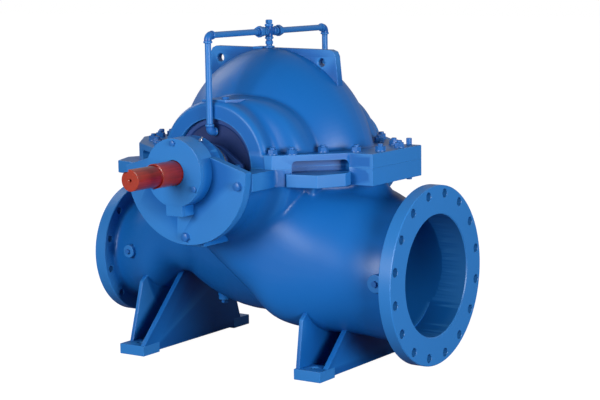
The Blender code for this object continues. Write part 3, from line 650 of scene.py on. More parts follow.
def foot(name, span, steep, sloping):
    """One foot: two end pads, two upright webs and a cross wall. Its edges are only broken, not rounded off."""
    x0, x1 = span
    pads = [
        box(name + "_pad_front", (x0, -FOOT_HALF, 0.0), (x1, -0.212, PAD_H)),
        box(name + "_pad_rear", (x0, 0.205, 0.0), (x1, FOOT_HALF, PAD_H)),
    ]
    rail = box(name + "_rail", (x0 + 0.001, -0.230, 0.007), (x1 - 0.001, 0.230, 0.022))
    front = [(-steep[0][0], 0.008), *((-y, z) for y, z in steep)]
    back = [(y, z) for y, z in reversed(sloping)] + [(sloping[0][0], 0.008)]
    left_web = prism(name + "_web_left", front + back, x0 + 0.002, x0 + 0.016, "X")
    front = [(-sloping[0][0], 0.008), *((-y, z) for y, z in sloping)]
    back = [(y, z) for y, z in reversed(steep)] + [(steep[0][0], 0.008)]
    right_web = prism(name + "_web_right", front + back, x1 - 0.019, x1 - 0.001, "X")
    wall = box(name + "_wall", (x0 + 0.008, -0.020, 0.010), (x1 - 0.008, 0.010, steep[-1][1]))
    return [bevelled(piece, 0.0020) for piece in (*pads, rail, left_web, right_web, wall)]


def span_y(side, near, far):
    """The two ends of a length along the shaft, in order, on one side of the casing's middle."""
    return sorted((side * near, side * far))


def cradle(name, side):
    """The trough that carries a bearing bracket in front of the seal, 4 mm over length for machining."""
    low, high = span_y(side, 0.280, CRADLE_Y + 0.004)
    shell = drum(name + "_shell", "Y", (0, SHAFT_Z), low, high, (CRADLE_R, CRADLE_R))
    low, high = span_y(side, CRADLE_Y - 0.006, CRADLE_Y + 0.004)
    face = drum(name + "_face", "Y", (0, SHAFT_Z), low, high, (BRACKET_R, BRACKET_R))
    low, high = span_y(side, 0.300, CRADLE_Y - 0.002)
    half = CRADLE_HALF - 0.0015
    arm = box(name + "_arm", (-half, low, JOINT_BOTTOM + 0.0015), (half, high, SHAFT_Z + 0.004))
    return [shell, face, arm]


def cradle_edges(name, side):
    """The cradle's two arms and the rib under it, with clean corners."""
    low, high = span_y(side, 0.304, CRADLE_Y)
    arm = box(name + "_arm_edges", (-CRADLE_HALF, low, JOINT_BOTTOM), (CRADLE_HALF, high, SHAFT_Z + 0.004))
    low, high = span_y(side, 0.270, CRADLE_Y - 0.002)
    rib = box(name + "_rib", (-0.044, low, 0.414), (0.044, high, 0.470))
    return [bevelled(arm, 0.0022), bevelled(rib, 0.0022)]


def joint_outline(inset=0.0):
    """The split flange seen from above, the same on both sides of the casing's middle."""
    front = [
        (0.480 - inset, -0.148),
        (0.396, -0.148),
        (0.225, -0.320 + inset),
        (-0.225, -0.320 + inset),
        (-0.390, -0.200 + inset),
        (-0.500 + inset, -0.040),
    ]
    return front + [(x, -y) for x, y in reversed(front)]


def mirrored(points):
    """The other half of an outline, across the pipework's line."""
    return [(x, -y) for x, y in reversed(points)]


def lugs():
    """The four prising lugs that the lower flange keeps outside the upper one."""
    right = [(0.255, -0.285), (0.262, -0.296), (0.362, -0.278), (0.410, -0.190), (0.402, -0.150), (0.300, -0.220)]
    left = [(-0.300, -0.230), (-0.395, -0.190), (-0.460, -0.105), (-0.482, -0.150), (-0.445, -0.245), (-0.280, -0.287)]
    outlines = [right, mirrored(right), left, mirrored(left)]
    return [
        bevelled(prism(f"lug_{i + 1}", outline, JOINT_BOTTOM + 0.0002, LUG_TOP), 0.0025, 3)
        for i, outline in enumerate(outlines)
    ]


def remeshed(obj, grain):
    """The piece as one even skin of small faces, as if poured in one go."""
    step = obj.modifiers.new("pour", "REMESH")
    step.mode = "VOXEL"
    step.voxel_size = grain
    return solid(obj)


def quad_normals(places, quads):
    """The skin's direction at each point, from the faces round it."""
    corners = places[quads]
    facing = np.cross(corners[:, 2] - corners[:, 0], corners[:, 3] - corners[:, 1])
    total = np.zeros_like(places)
    for k in range(3):
        total[:, k] = np.bincount(quads.ravel(), np.repeat(facing[:, k], 4), len(places))
    return total / np.maximum(np.linalg.norm(total, axis=1), 1e-12)[:, None]


def filleted(obj, passes, easing=2, hold=None):
    """Runs the pattern maker's fillets into the inner corners, then eases every edge a little.

    Each pass moves a point out towards the middle of its neighbours, only where the skin is hollow.
    hold gives how far, from 0 to 1, a point is free to move.
    """
    mesh = obj.data
    places = np.empty(len(mesh.vertices) * 3, np.float32)
    mesh.vertices.foreach_get("co", places)
    places = places.reshape(-1, 3).astype(np.float64)
    quads = np.empty(len(mesh.loops), np.int32)
    mesh.loops.foreach_get("vertex_index", quads)
    quads = quads.reshape(-1, 4)
    ends = np.empty(len(mesh.edges) * 2, np.int32)
    mesh.edges.foreach_get("vertices", ends)
    a, b = ends.reshape(-1, 2).T
    count = len(places)
    valence = np.bincount(ends, minlength=count)
    free = np.ones(count) if hold is None else hold(places)
    for turn_number in range(passes + easing):
        pull = np.empty_like(places)
        for k in range(3):
            pull[:, k] = np.bincount(a, places[b, k], count) + np.bincount(b, places[a, k], count)
        pull = pull / valence[:, None] - places
        if turn_number < passes:
            out = quad_normals(places, quads)
            rise = np.einsum("ij,ij->i", pull, out)
            rise = np.maximum(rise - 0.00001, 0.0)
            places += (0.8 * rise * free)[:, None] * out
        else:
            places += 0.5 * pull * np.minimum(free + 0.5, 1.0)[:, None]
    mesh.vertices.foreach_set("co", places.astype(np.float32).ravel())
    mesh.update()
    return obj


def passage(name, sections, wall, far_x):
    """The water way inside a neck: the neck's own sections less its wall, rounded off where it ends inside."""
    rows = [row for row in between(sections, 6) if (row[0] - far_x) * (sections[-1][0] - far_x) >= 0]
    rings = []
    for x, zc, a, b, power in rows:
        depth = min(abs(x - far_x) / 0.090, 1.0)
        close = math.sqrt(max(1 - (1 - depth) ** 2, 0.02))
        shift = NOZZLE[0] * min(abs(x / sections[-1][0]), 1.0)
        rings.append(oval(x, (shift, zc), ((a - wall) * close, (b - wall) * close), max(power * 0.8, 2.0)))
    return loft(name, rings)


def pipe_flange(name, face_x, way, sizes, chamfer=0.0022):
    """A machined pipe flange with broken edges. way is the direction of its face along X."""
    back = face_x - way * sizes["thick"]
    r = sizes["radius"]
    profile = [
        (0.100, face_x),
        (r - chamfer, face_x),
        (r, face_x - way * chamfer),
        (r, back + way * chamfer),
        (r - chamfer, back),
        (0.100, back),
    ]
    return turned(name, profile, "X", NOZZLE, 160)


def side_by_side(name, pieces):
    """Several bodies that don't touch, as one tool."""
    bm = bmesh.new()
    for piece in pieces:
        bm.from_mesh(piece.data)
        bpy.data.objects.remove(piece)
    return object_from(name, bm)


def flange_holes(name, face_x, way, sizes):
    """The bolt holes through a pipe flange, straddling its centre lines, each with a broken edge on the face."""
    made = []
    r = sizes["hole"]
    profile = [
        (0.0, face_x - way * (sizes["thick"] + 0.022)),
        (r, face_x - way * (sizes["thick"] + 0.022)),
        (r, face_x - way * 0.0012),
        (r + 0.0042, face_x + way * 0.003),
        (0.0, face_x + way * 0.003),
    ]
    for i in range(sizes["holes"]):
        way_round = 2 * math.pi * (i + 0.5) / sizes["holes"]
        y = NOZZLE[0] + sizes["circle"] * math.cos(way_round)
        z = NOZZLE[1] + sizes["circle"] * math.sin(way_round)
        made.append(turned(f"{name}_{i + 1}", profile, "X", (y, z), 36))
    return side_by_side(name, made)


def cradle_bores(name, side):
    """The seal recess and the chamber behind it, bored from each end."""
    low, high = span_y(side, RECESS_FLOOR_Y, CRADLE_Y + 0.010)
    recess = drum(name + "_recess", "Y", (0, SHAFT_Z), low, high, (RECESS_R, RECESS_R), 128)
    low, high = span_y(side, 0.200, 0.300)
    chamber = drum(name + "_chamber", "Y", (0, SHAFT_Z), low, high, (0.110, 0.110))
    return [recess, chamber]


def trough(name, side):
    """The open inside of a cradle."""
    low, high = span_y(side, COLLAR_FACE_Y + 0.004, CRADLE_Y + 0.010)
    return drum(name + "_trough", "Y", (0, SHAFT_Z), low, high, (0.178, 0.178))


def wheel_space():
    """The space that the impeller turns in, with the shaft's way out through both walls."""
    wheel = drum("wheel", "Y", (0, SHAFT_Z), -0.110, 0.110, (0.270, 0.270))
    way_out = drum("way", "Y", (0, SHAFT_Z), -0.250, 0.250, (0.062, 0.062))
    return [wheel, way_out]


def shade(obj, material, angle=32):
    """Gives the piece its material, and shades round faces smooth but keeps machined corners."""
    obj.data.materials.clear()
    obj.data.materials.append(material)
    obj.data.shade_smooth()
    obj.data.set_sharp_from_angle(angle=math.radians(angle))
    step = obj.modifiers.new("flat_faces", "WEIGHTED_NORMAL")
    step.keep_sharp = True
    return solid(obj)


def settle(obj, body, stands_for=()):
    """Moves the finished piece to its place in the frame, and says what carries it and what it stands for."""
    obj.data.transform(Matrix.Translation(CENTRE))
    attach(obj, body)
    if stands_for:
        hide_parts(*stands_for)
    return obj


def prising_slots():
    """The four pockets over the lugs where a bar lifts the upper half, with round ends."""
    made = []
    for i, (x, y, degrees, half) in enumerate(((0.3320, -0.2123, 45, 0.0895), (-0.3075, -0.260, -36, 0.055))):
        arc = [math.radians(90 * k / 6) for k in range(7)]
        low, high, r = LUG_TOP, 0.6745, 0.0150
        outline = [(-half, low), (half, low)]
        outline += [(half - r * (1 - math.cos(t)), high - r * (1 - math.sin(t))) for t in arc]
        outline += [(r * (1 - math.sin(t)) - half, high - r * (1 - math.cos(t))) for t in arc]
        for side in (-1, 1):
            slot = prism(f"prising_slot_{i + 1}_{side + 2}", outline, -0.006, 0.052, "Y")
            if side > 0:
                slot.data.transform(Matrix.Rotation(math.pi, 4, "Z"))
            turn_in = Matrix.Rotation(math.radians(-side * degrees), 4, "Z")
            slot.data.transform(Matrix.Translation((x, -side * y, 0)) @ turn_in)
            made.append(slot)
    return side_by_side("prising_slots", made)


def foot_holes():
    """The foundation bolt holes through the pads."""
    made = []
    for x0, x1 in (FOOT_LEFT, FOOT_RIGHT):
        for y in (-0.250, 0.250):
            made.append(drum("foot_hole", "Z", ((x0 + x1) / 2, y), -0.010, PAD_H + 0.010, (0.012, 0.012), 36))
    return side_by_side("foot_holes", made)


def broken(profile, width):
    """A closed profile with each of its corners cut off or rounded by three points."""
    points = []
    count = len(profile)
    for i, here in enumerate(profile):
        before = profile[i - 1]
        after = profile[(i + 1) % count]
        if here[0] == 0:
            points.append(here)
            continue
        legs = []
        for other in (before, after):
            length = math.dist(here, other)
            share = min(width / length, 0.45)
            legs.append((here[0] + (other[0] - here[0]) * share, here[1] + (other[1] - here[1]) * share))
        middle = [(legs[0][k] + legs[1][k]) * 0.35 + here[k] * 0.30 for k in range(2)]
        points += [legs[0], tuple(middle), legs[1]]
    return points


def lower_casing():
    """Casts the lower half, then machines it."""
    casing = prism("casing_lower", joint_outline(SKIN), JOINT_BOTTOM + SKIN, SHAFT_Z + 0.006)
    adds = [loft("volute_low", rings_round_shaft(180, 330, 5, volute_outline))]
    adds.append(drum("hub_low", "Y", (0, SHAFT_Z), -0.190, 0.190, (0.300, 0.300)))
    adds += [chamber_low(), suction_body(), discharge_body(), neck_post()]
    for name, x, way, sizes in (
        ("suction", SUCTION_X, 1, SUCTION_FLANGE),
        ("discharge", DISCHARGE_X, -1, DISCHARGE_FLANGE),
    ):
        ends = sorted((x - way * SKIN, x - way * (sizes["thick"] - SKIN)))
        r = sizes["radius"] - SKIN
        adds.append(drum(name + "_disc", "X", NOZZLE, ends[0], ends[1], (r, r), 160))
    adds += cradle("cradle_drive", -1) + cradle("cradle_far", 1)
    combine(casing, "UNION", adds)
    combine(casing, "DIFFERENCE", [trough("drive", -1), trough("far", 1)])
    filleted(remeshed(casing, GRAIN * 1.05), 10)
    plate = bevelled(prism("joint_plate", joint_outline(), JOINT_BOTTOM, SHAFT_Z + 0.006), 0.0022)
    combine(plate, "DIFFERENCE", [drum("plate_eye", "Y", (0, SHAFT_Z), -0.400, 0.400, (0.200, 0.200))])
    adds = [plate, pipe_flange("suction_ring", SUCTION_X, 1, SUCTION_FLANGE)]
    adds.append(pipe_flange("discharge_ring", DISCHARGE_X, -1, DISCHARGE_FLANGE))
    adds += foot("foot_left", FOOT_LEFT, *LEFT_WEBS) + foot("foot_right", FOOT_RIGHT, *RIGHT_WEBS)
    adds += cradle_edges("cradle_drive", -1) + cradle_edges("cradle_far", 1)
    adds.append(turned("boss_suction", broken([(0.0, -0.2265), (0.028, -0.2265), (0.028, -0.100), (0.0, -0.100)], 0.0015), "Y", (0.532, 0.312), 64))
    adds.append(turned("boss_discharge", broken([(0.0, -0.2000), (0.021, -0.2000), (0.022, -0.080), (0.0, -0.080)], 0.0015), "Y", (-0.450, 0.325), 64))
    adds.append(turned("boss_drain", broken([(0.0, 0.154), (0.021, 0.154), (0.026, 0.240), (0.0, 0.240)], 0.0015), "Z", (DRAIN_X, 0.0), 64))
    combine(casing, "UNION", adds + lugs())
    cuts = [box("above_joint", (-0.700, -0.700, SHAFT_Z), (0.700, 0.700, 1.300))]
    cuts.append(box("drive_face", (-0.700, -0.600, 0.100), (0.700, -CRADLE_Y, 1.0)))
    cuts.append(box("far_face", (-0.700, CRADLE_Y, 0.100), (0.700, 0.600, 1.0)))
    cuts += [trough("drive", -1), trough("far", 1), prising_slots()]
    r = SUCTION_FLANGE["bore"]
    mouth = [(0.0, 0.500), (r - 0.002, 0.500), (r, SUCTION_X - 0.003), (r + 0.013, SUCTION_X + 0.010), (0.0, SUCTION_X + 0.010)]
    cuts.append(turned("suction_bore", mouth, "X", NOZZLE, 160))
    cuts.append(passage("suction_way", SUCTION_SECTIONS, 0.030, 0.060))
    r = DISCHARGE_FLANGE["bore"]
    mouth = [(0.0, -0.500), (r - 0.001, -0.500), (r, DISCHARGE_X + 0.003), (r + 0.013, DISCHARGE_X - 0.010), (0.0, DISCHARGE_X - 0.010)]
    cuts.append(turned("discharge_bore", mouth, "X", NOZZLE, 128))
    cuts.append(passage("discharge_way", DISCHARGE_SECTIONS[::-1], 0.024, -0.210))
    cuts.append(flange_holes("suction_hole", SUCTION_X, 1, SUCTION_FLANGE))
    cuts.append(flange_holes("discharge_hole", DISCHARGE_X, -1, DISCHARGE_FLANGE))
    cuts.append(foot_holes())
    cuts += cradle_bores("drive", -1) + cradle_bores("far", 1) + wheel_space()
    combine(casing, "DIFFERENCE", cuts)
    return casing


casing_lower = shade(lower_casing(), CAST_PAINT)
settle(casing_lower, "casing", ("lower_casing",))


# Upper casing: the half that lifts off. One casting with the dome over the impeller, the two inlet barrels that end
# in collars round the seals, and a lifting rib with two eyes. Studs hold it down through its split flange.

LIFTING_RIB = (
    (-0.232, 0.880),
    (-0.228, 0.985),
    (-0.220, 1.000),
    (-0.205, 1.006),
    (0.240, 0.999),
    (0.256, 0.993),
    (0.263, 0.979),
    (0.275, 0.860),
)
COLLAR_PAD = ((-0.045, -0.306), (0.045, -0.306), (0.098, -0.205), (0.098, -0.170), (-0.045, -0.170))
RIB_HALF = 0.014
EYES = ((-0.188, 0.967), (0.210, 0.958))
EYE_R = 0.0135


def eye_cutter(name, x, z):
    """A lifting eye through the rib, with its edges broken on both sides."""
    edge = 0.0022
    profile = [
        (0.0, -RIB_HALF - 0.010),
        (EYE_R + edge + 0.010, -RIB_HALF - 0.010),
        (EYE_R, -RIB_HALF + edge),
        (EYE_R, RIB_HALF - edge),
        (EYE_R + edge + 0.010, RIB_HALF + 0.010),
        (0.0, RIB_HALF + 0.010),
    ]
    return turned(name, profile, "Y", (x, z), 48)


def upper_casing():
    """Casts the upper half, then machines it."""
    low = SHAFT_Z + GAP
    casing = prism("casing_upper", joint_outline(0.0015), low - 0.006, JOINT_TOP - SKIN)
    adds = [loft("volute_top", rings_round_shaft(0, 180, 3, volute_outline))]
    adds.append(loft("barrel", rings_round_shaft(0, 180, 3, barrel_outline)))
    combine(casing, "UNION", adds)
    filleted(remeshed(casing, GRAIN * 0.75), 3, 1)
    plate = bevelled(prism("cover_plate", joint_outline(), low - 0.004, JOINT_TOP), 0.0022)
    combine(plate, "DIFFERENCE", [drum("plate_eye", "Y", (0, SHAFT_Z), -0.400, 0.400, (0.200, 0.200))])
    adds = [plate, bevelled(prism("rib", LIFTING_RIB, -RIB_HALF, RIB_HALF, "Y"), 0.0018)]
    adds.append(bevelled(box("crest_pad", (-0.050, -0.022, 0.980), (-0.015, 0.022, 1.006)), 0.0015))
    crest = [(0.0, 0.960), (0.022, 0.960), (0.017, 1.0075), (0.0, 1.0075)]
    adds.append(turned("crest_boss", broken(crest, 0.0015), "Z", (0, 0), 48))
    adds.append(bevelled(prism("collar_pad_drive", COLLAR_PAD, 0.800, COLLAR_PAD_Z), 0.0015))
    adds.append(bevelled(prism("collar_pad_far", [(-x, -y) for x, y in COLLAR_PAD], 0.800, COLLAR_PAD_Z), 0.0015))
    combine(casing, "UNION", adds)
    cuts = [box("below_joint", (-0.700, -0.700, 0.100), (0.700, 0.700, low))]
    cuts += [eye_cutter(f"eye_{i + 1}", x, z) for i, (x, z) in enumerate(EYES)]
    cuts += cradle_bores("top_drive", -1) + cradle_bores("top_far", 1) + wheel_space()
    cuts.append(prising_slots())
    return combine(casing, "DIFFERENCE", cuts)


casing_upper = shade(upper_casing(), CAST_PAINT)
settle(casing_upper, "casing", ("upper_casing",))


# Bearing brackets: half moon castings spigoted to the cradles, with the bearing housing in their middle and a
# square lug under it. The plate, the housing's rim and its face are machined, then painted with the casing.

BRACKET_FACE_Y = 0.460
HOUSING_R = 0.105
HOUSING_FACE_Y = 0.503
COVER_FACE_Y = 0.515
BEARING_R = 0.075
BEARING_BACK_Y = 0.462
LUG_DROP = 0.132


def half_moon(inset=0.0):
    """The bracket plate's outline: its rim, and the top edges that slope up to the housing."""
    points = []
    reach = BRACKET_R - inset
    for i in range(61):
        way = math.radians(180 + 1 + 178 * i / 60)
        points.append((reach * math.cos(way), SHAFT_Z + reach * math.sin(way)))
    top = [(0.230 - inset, 0.656), (0.100, 0.696 - inset), (-0.100, 0.696 - inset), (inset - 0.230, 0.656)]
    return points + top


def housing_outline(inset=0.0):
    """The bearing housing's face: a circle with the square lug drawn out under it."""
    reach = HOUSING_R - inset
    half = 0.031 - inset
    start = math.asin(half / reach)
    sweep = 2 * math.pi - 2 * start
    turns = [-math.pi / 2 + start + sweep * i / 120 for i in range(121)]
    points = [(reach * math.cos(t), SHAFT_Z + reach * math.sin(t)) for t in turns]
    return points + [(-half, SHAFT_Z - LUG_DROP + inset), (half, SHAFT_Z - LUG_DROP + inset)]


def bearing_bracket(name, side):
    """Casts one bracket and machines its faces and its bore."""
    low, high = span_y(side, CRADLE_Y, BRACKET_FACE_Y)
    piece = bevelled(prism(name, half_moon(), low, high, "Y"), 0.0018)
    low, high = span_y(side, 0.404, 0.448)
    rear_r = HOUSING_R - 0.001
    adds = [bevelled(drum("housing_rear", "Y", (0, SHAFT_Z), low, high, (rear_r, rear_r), 160), 0.0015)]
    low, high = span_y(side, 0.352, 0.410)
    radii = (0.078, 0.104) if side > 0 else (0.104, 0.078)
    adds.append(drum("neck", "Y", (0, SHAFT_Z), low, high, radii))
    low, high = span_y(side, 0.445, HOUSING_FACE_Y)
    adds.append(bevelled(prism("housing_front", housing_outline(), low, high, "Y"), 0.0006, 1))
    combine(piece, "UNION", adds)
    low, high = span_y(side, 0.340, 0.520)
    bore = drum("bore", "Y", (0, SHAFT_Z), low, high, (0.050, 0.050))
    low, high = span_y(side, BEARING_BACK_Y, 0.530)
    seat = drum("seat", "Y", (0, SHAFT_Z), low, high, (BEARING_R, BEARING_R))
    combine(piece, "DIFFERENCE", [bore, seat])
    return piece


ENDS = (("drive", -1), ("far", 1))
for end, side in ENDS:
    bracket = shade(bearing_bracket("bracket_" + end, side), CAST_PAINT)
    settle(bracket, "casing", ("bearing_bracket_" + end,))


# Bearing covers: turned discs that close the housings, each held by three small screws. The one at the coupling
# end lets the shaft through a lip seal, the far one is blind with a raised middle.

SHAFT_BODY_R = 0.0375
FAR_END_Y = 0.529


def side_turned(name, profile, side, width=0.0008, steps=128):
    """A turned piece at one end of the shaft. The profile is for the far end, (radius, y)."""
    return turned(name, broken([(r, side * y) for r, y in profile], width), steps=steps)


def bearing_cover(name, side):
    """One cover, with the step that centres it in the housing left out of sight."""
    low, high = span_y(side, HOUSING_FACE_Y + GAP, COVER_FACE_Y)
    cover = bevelled(prism(name, housing_outline(), low, high, "Y"), 0.0012)
    if side > 0:
        dome = [(0.0, 0.508), (0.072, 0.508), (0.066, 0.517), (0.060, FAR_END_Y), (0.0, FAR_END_Y)]
        return combine(cover, "UNION", [side_turned("cover_middle", dome, side, 0.0014)])
    low, high = span_y(side, 0.490, 0.530)
    inner = SHAFT_BODY_R + 0.002
    return combine(cover, "DIFFERENCE", [drum("shaft_way", "Y", (0, SHAFT_Z), low, high, (inner, inner), 128)])


for end, side in ENDS:
    cover = shade(bearing_cover("cover_" + end, side), TURNED_PAINT)
    settle(cover, "casing", ("bearing_cover_" + end,))


# Shaft: ground carbon steel. The coupling end sticks out with an open keyway and a centre hole, and wears a
# transparent red rust-proofing lacquer, thicker in the corners. Inside the casing the real shaft is bare, but here
# the lacquer covers the whole shaft.

DRIVE_END_Y = -0.718
SHAFT_STEP_Y = -0.607
SHAFT_END_R = 0.0325
KEYWAY_TURN = 28
KEYWAY_HALF = 0.009
KEYWAY_LENGTH = 0.095
KEYWAY_FLOOR = 0.026


def turn_about_shaft(degrees):
    """A turn about the shaft's axis, from the top towards the discharge side."""
    there = Matrix.Translation((0, 0, SHAFT_Z))
    return there @ Matrix.Rotation(math.radians(-degrees), 4, "Y") @ there.inverted()


def shaft():
    """The whole shaft, with its keyway milled by a disc cutter that leaves a round end."""
    profile = [
        (0.000, 0.505),
        (0.030, 0.505),
        (0.030, 0.440),
        (0.0400, 0.440),
        (0.0400, 0.300),
        (0.0430, 0.300),
        (0.0430, -0.300),
        (0.0400, -0.300),
        (0.0400, -0.440),
        (SHAFT_BODY_R, -0.440),
        (SHAFT_BODY_R, SHAFT_STEP_Y),
        (SHAFT_END_R, SHAFT_STEP_Y),
        (SHAFT_END_R, DRIVE_END_Y),
        (0.000, DRIVE_END_Y),
    ]
    piece = turned("shaft_turned", broken(profile, 0.0016), steps=128)
    floor = SHAFT_Z + KEYWAY_FLOOR
    slot = box("keyway", (-KEYWAY_HALF, DRIVE_END_Y - 0.010, floor), (KEYWAY_HALF, DRIVE_END_Y + KEYWAY_LENGTH - KEYWAY_HALF, floor + 0.030))
    end = drum("keyway_end", "Z", (0, DRIVE_END_Y + KEYWAY_LENGTH - KEYWAY_HALF), floor, floor + 0.030, (KEYWAY_HALF, KEYWAY_HALF), 48)
    combine(slot, "UNION", [end])
    slot.data.transform(turn_about_shaft(KEYWAY_TURN))
    centre = [(0.0, DRIVE_END_Y - 0.002), (0.0075, DRIVE_END_Y - 0.002), (0.0045, DRIVE_END_Y + 0.003), (0.0032, DRIVE_END_Y + 0.004), (0.0032, DRIVE_END_Y + 0.016), (0.0, DRIVE_END_Y + 0.018)]
    return combine(piece, "DIFFERENCE", [slot, turned("centre_hole", centre, steps=32)])


def red_lacquer():
    """Red lacquer over turned steel: streaks round the shaft that are brush marks and also painted light and dark
    reflection stripes, darker where it has run together.
    """
    material = bpy.data.materials.new("red_lacquer_on_steel")
    material.use_nodes = True
    nodes, links = material.node_tree.nodes, material.node_tree.links
    shader = nodes["Principled BSDF"]
    place = nodes.new("ShaderNodeTexCoord").outputs["Object"]
    # Painted reflection: the light and dark streaks along the shaft are painted into the colour, over the real brush
    # marks.
    stretch = nodes.new("ShaderNodeMapping")
    stretch.inputs["Scale"].default_value = (70.0, 3.0, 70.0)
    links.new(place, stretch.inputs["Vector"])
    brush_streaks_and_painted_reflections = noise(nodes, links, stretch.outputs["Vector"], 3.0, 3.0)
    clouds = noise(nodes, links, place, 26.0, 3.0)
    edges = nodes.new("ShaderNodeGroup")
    edges.node_tree = PAINTED_EDGE_AND_CORNER_LIGHT
    ramp = nodes.new("ShaderNodeValToRGB")
    ramp.color_ramp.elements[0].position = 0.30
    ramp.color_ramp.elements[0].color = (0.060, 0.0010, 0.0020, 1.0)
    ramp.color_ramp.elements[1].position = 0.72
    ramp.color_ramp.elements[1].color = (0.300, 0.0080, 0.0070, 1.0)
    both = maths(nodes, links, "ADD", maths(nodes, links, "MULTIPLY", brush_streaks_and_painted_reflections, 0.6), maths(nodes, links, "MULTIPLY", clouds, 0.4))
    links.new(both, ramp.inputs["Fac"])
    # Painted highlight: the shaft's edges and steps are lightened towards orange.
    painted_edge_highlight = nodes.new("ShaderNodeMix")
    painted_edge_highlight.data_type = "RGBA"
    painted_edge_highlight.inputs["B"].default_value = (0.420, 0.060, 0.030, 1.0)
    links.new(ramp.outputs["Color"], painted_edge_highlight.inputs["A"])
    links.new(maths(nodes, links, "MULTIPLY", edges.outputs["Edge"], 0.6), painted_edge_highlight.inputs["Factor"])
    links.new(painted_edge_highlight.outputs["Result"], shader.inputs["Base Color"])
    shader.inputs["Roughness"].default_value = 0.34
    shader.inputs["Specular IOR Level"].default_value = 0.20
    shader.inputs["Coat Weight"].default_value = 0.45
    shader.inputs["Coat Roughness"].default_value = 0.10
    relief = nodes.new("ShaderNodeBump")
    relief.inputs["Strength"].default_value = 0.5
    relief.inputs["Distance"].default_value = 0.0006
    links.new(brush_streaks_and_painted_reflections, relief.inputs["Height"])
    links.new(relief.outputs["Normal"], shader.inputs["Normal"])
    return material


shaft_piece = shade(shaft(), red_lacquer())
settle(shaft_piece, "rotor", ("shaft",))


# Seal covers and glands: discs at the bottom of the recesses, each with an oval gland plate on two studs. They stay
# in the shade of the collars, and their enamel is a darker navy copy of the blue, which is painted shade.

# Painted shade: the seal covers get a navy copy of the blue enamel, the colour of the collars' shade.
PAINTED_SHADE_SEAL_ENAMEL = enamel("painted_shade_seal_enamel", (0.012, 0.035, 0.150, 1.0), (0.030, 0.100, 0.340, 1.0), (0.006, 0.018, 0.080, 1.0), roughness=0.42, grain=0.6)
GLAND_STUD_X = 0.095


def gland_outline():
    """The oval gland plate: a round middle drawn out to a small round end on each side."""
    middle_r, end_r = 0.068, 0.017
    lean = math.asin((middle_r - end_r) / GLAND_STUD_X)
    points = []
    for start, finish, x, r in (
        (lean - math.pi / 2, math.pi / 2 - lean, GLAND_STUD_X, end_r),
        (math.pi / 2 - lean, math.pi / 2 + lean, 0.0, middle_r),
        (math.pi / 2 + lean, 3 * math.pi / 2 - lean, -GLAND_STUD_X, end_r),
        (-math.pi / 2 - lean, lean - math.pi / 2, 0.0, middle_r),
    ):
        for i in range(17):
            way = start + (finish - start) * i / 16
            points.append((x + r * math.cos(way), SHAFT_Z + r * math.sin(way)))
    return points


def seal_cover(name, side):
    """The disc in the recess with its gland plate and nose."""
    inner = SHAFT_BODY_R + 0.0155
    back = RECESS_FLOOR_Y + GAP
    profile = [(inner, back), (RECESS_R - 0.001, back), (RECESS_R - 0.001, 0.302), (0.132, 0.302), (0.128, 0.299), (inner, 0.299)]
    disc = side_turned(name, profile, side)
    low, high = span_y(side, 0.296, 0.315)
    plate = bevelled(prism("gland_plate", gland_outline(), low, high, "Y"), 0.0015)
    nose = side_turned("gland_nose", [(inner, 0.290), (0.062, 0.290), (0.062, 0.322), (inner, 0.322)], side, 0.0015)
    low, high = span_y(side, 0.280, 0.340)
    hole = drum("shaft_way", "Y", (0, SHAFT_Z), low, high, (inner, inner), 128)
    combine(disc, "UNION", [plate])
    combine(disc, "DIFFERENCE", [hole])
    return combine(disc, "UNION", [nose])


for end, side in ENDS:
    cover = shade(seal_cover("gland_" + end, side), PAINTED_SHADE_SEAL_ENAMEL)
    settle(cover, "casing", ("seal_cover_" + end,))


# Slingers and bearings: bare turned steel, hardly seen between the brackets and the seals. The impeller is bronze.


def bare_metal(name, colour, roughness):
    """Turned metal with fine tool marks and a thin film of oil."""
    material = bpy.data.materials.new(name)
    material.use_nodes = True
    nodes, links = material.node_tree.nodes, material.node_tree.links
    shader = nodes["Principled BSDF"]
    shader.inputs["Base Color"].default_value = colour
    shader.inputs["Metallic"].default_value = 1.0
    place = nodes.new("ShaderNodeTexCoord").outputs["Object"]
    marks = noise(nodes, links, place, 340.0, 2.0)
    links.new(maths(nodes, links, "ADD", maths(nodes, links, "MULTIPLY", marks, 0.18), roughness - 0.09), shader.inputs["Roughness"])
    relief = nodes.new("ShaderNodeBump")
    relief.inputs["Strength"].default_value = 0.25
    relief.inputs["Distance"].default_value = 0.0002
    links.new(marks, relief.inputs["Height"])
    links.new(relief.outputs["Normal"], shader.inputs["Normal"])
    return material


STEEL = bare_metal("turned_steel", (0.42, 0.42, 0.43, 1.0), 0.34)
BRONZE = bare_metal("cast_bronze", (0.42, 0.26, 0.09, 1.0), 0.38)
for end, side in ENDS:
    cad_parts["bearing_" + end].data.materials[0] = STEEL
    slinger = side_turned("slinger_ring_" + end, [(0.0403, 0.328), (0.068, 0.330), (0.068, 0.336), (0.050, 0.340), (0.0403, 0.340)], side)
    settle(shade(slinger, STEEL), "rotor", ("slinger_" + end,))
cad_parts["impeller"].data.materials[0] = BRONZE


# Flushing line: galvanised half inch pipe and banded malleable fittings, screwed together and painted over. It runs
# from a cross on the crest down to both seal covers, and two hexagon unions let it be taken apart.

PIPE_R = 0.0098
FITTING_R = 0.0120
BAND_R = 0.0140
ELBOW_LEG = 0.024
PIPE_Z = 1.055
PIPE_DOWN_Y = 0.328
PIPE_FOOT_Z = 0.757
PIPE_PAINT = enamel("blue_enamel_pipe", (0.009, 0.100, 0.400, 1.0), PALE_BLUE, DEEP_BLUE, roughness=0.34, grain=0.5, waves=0.0)


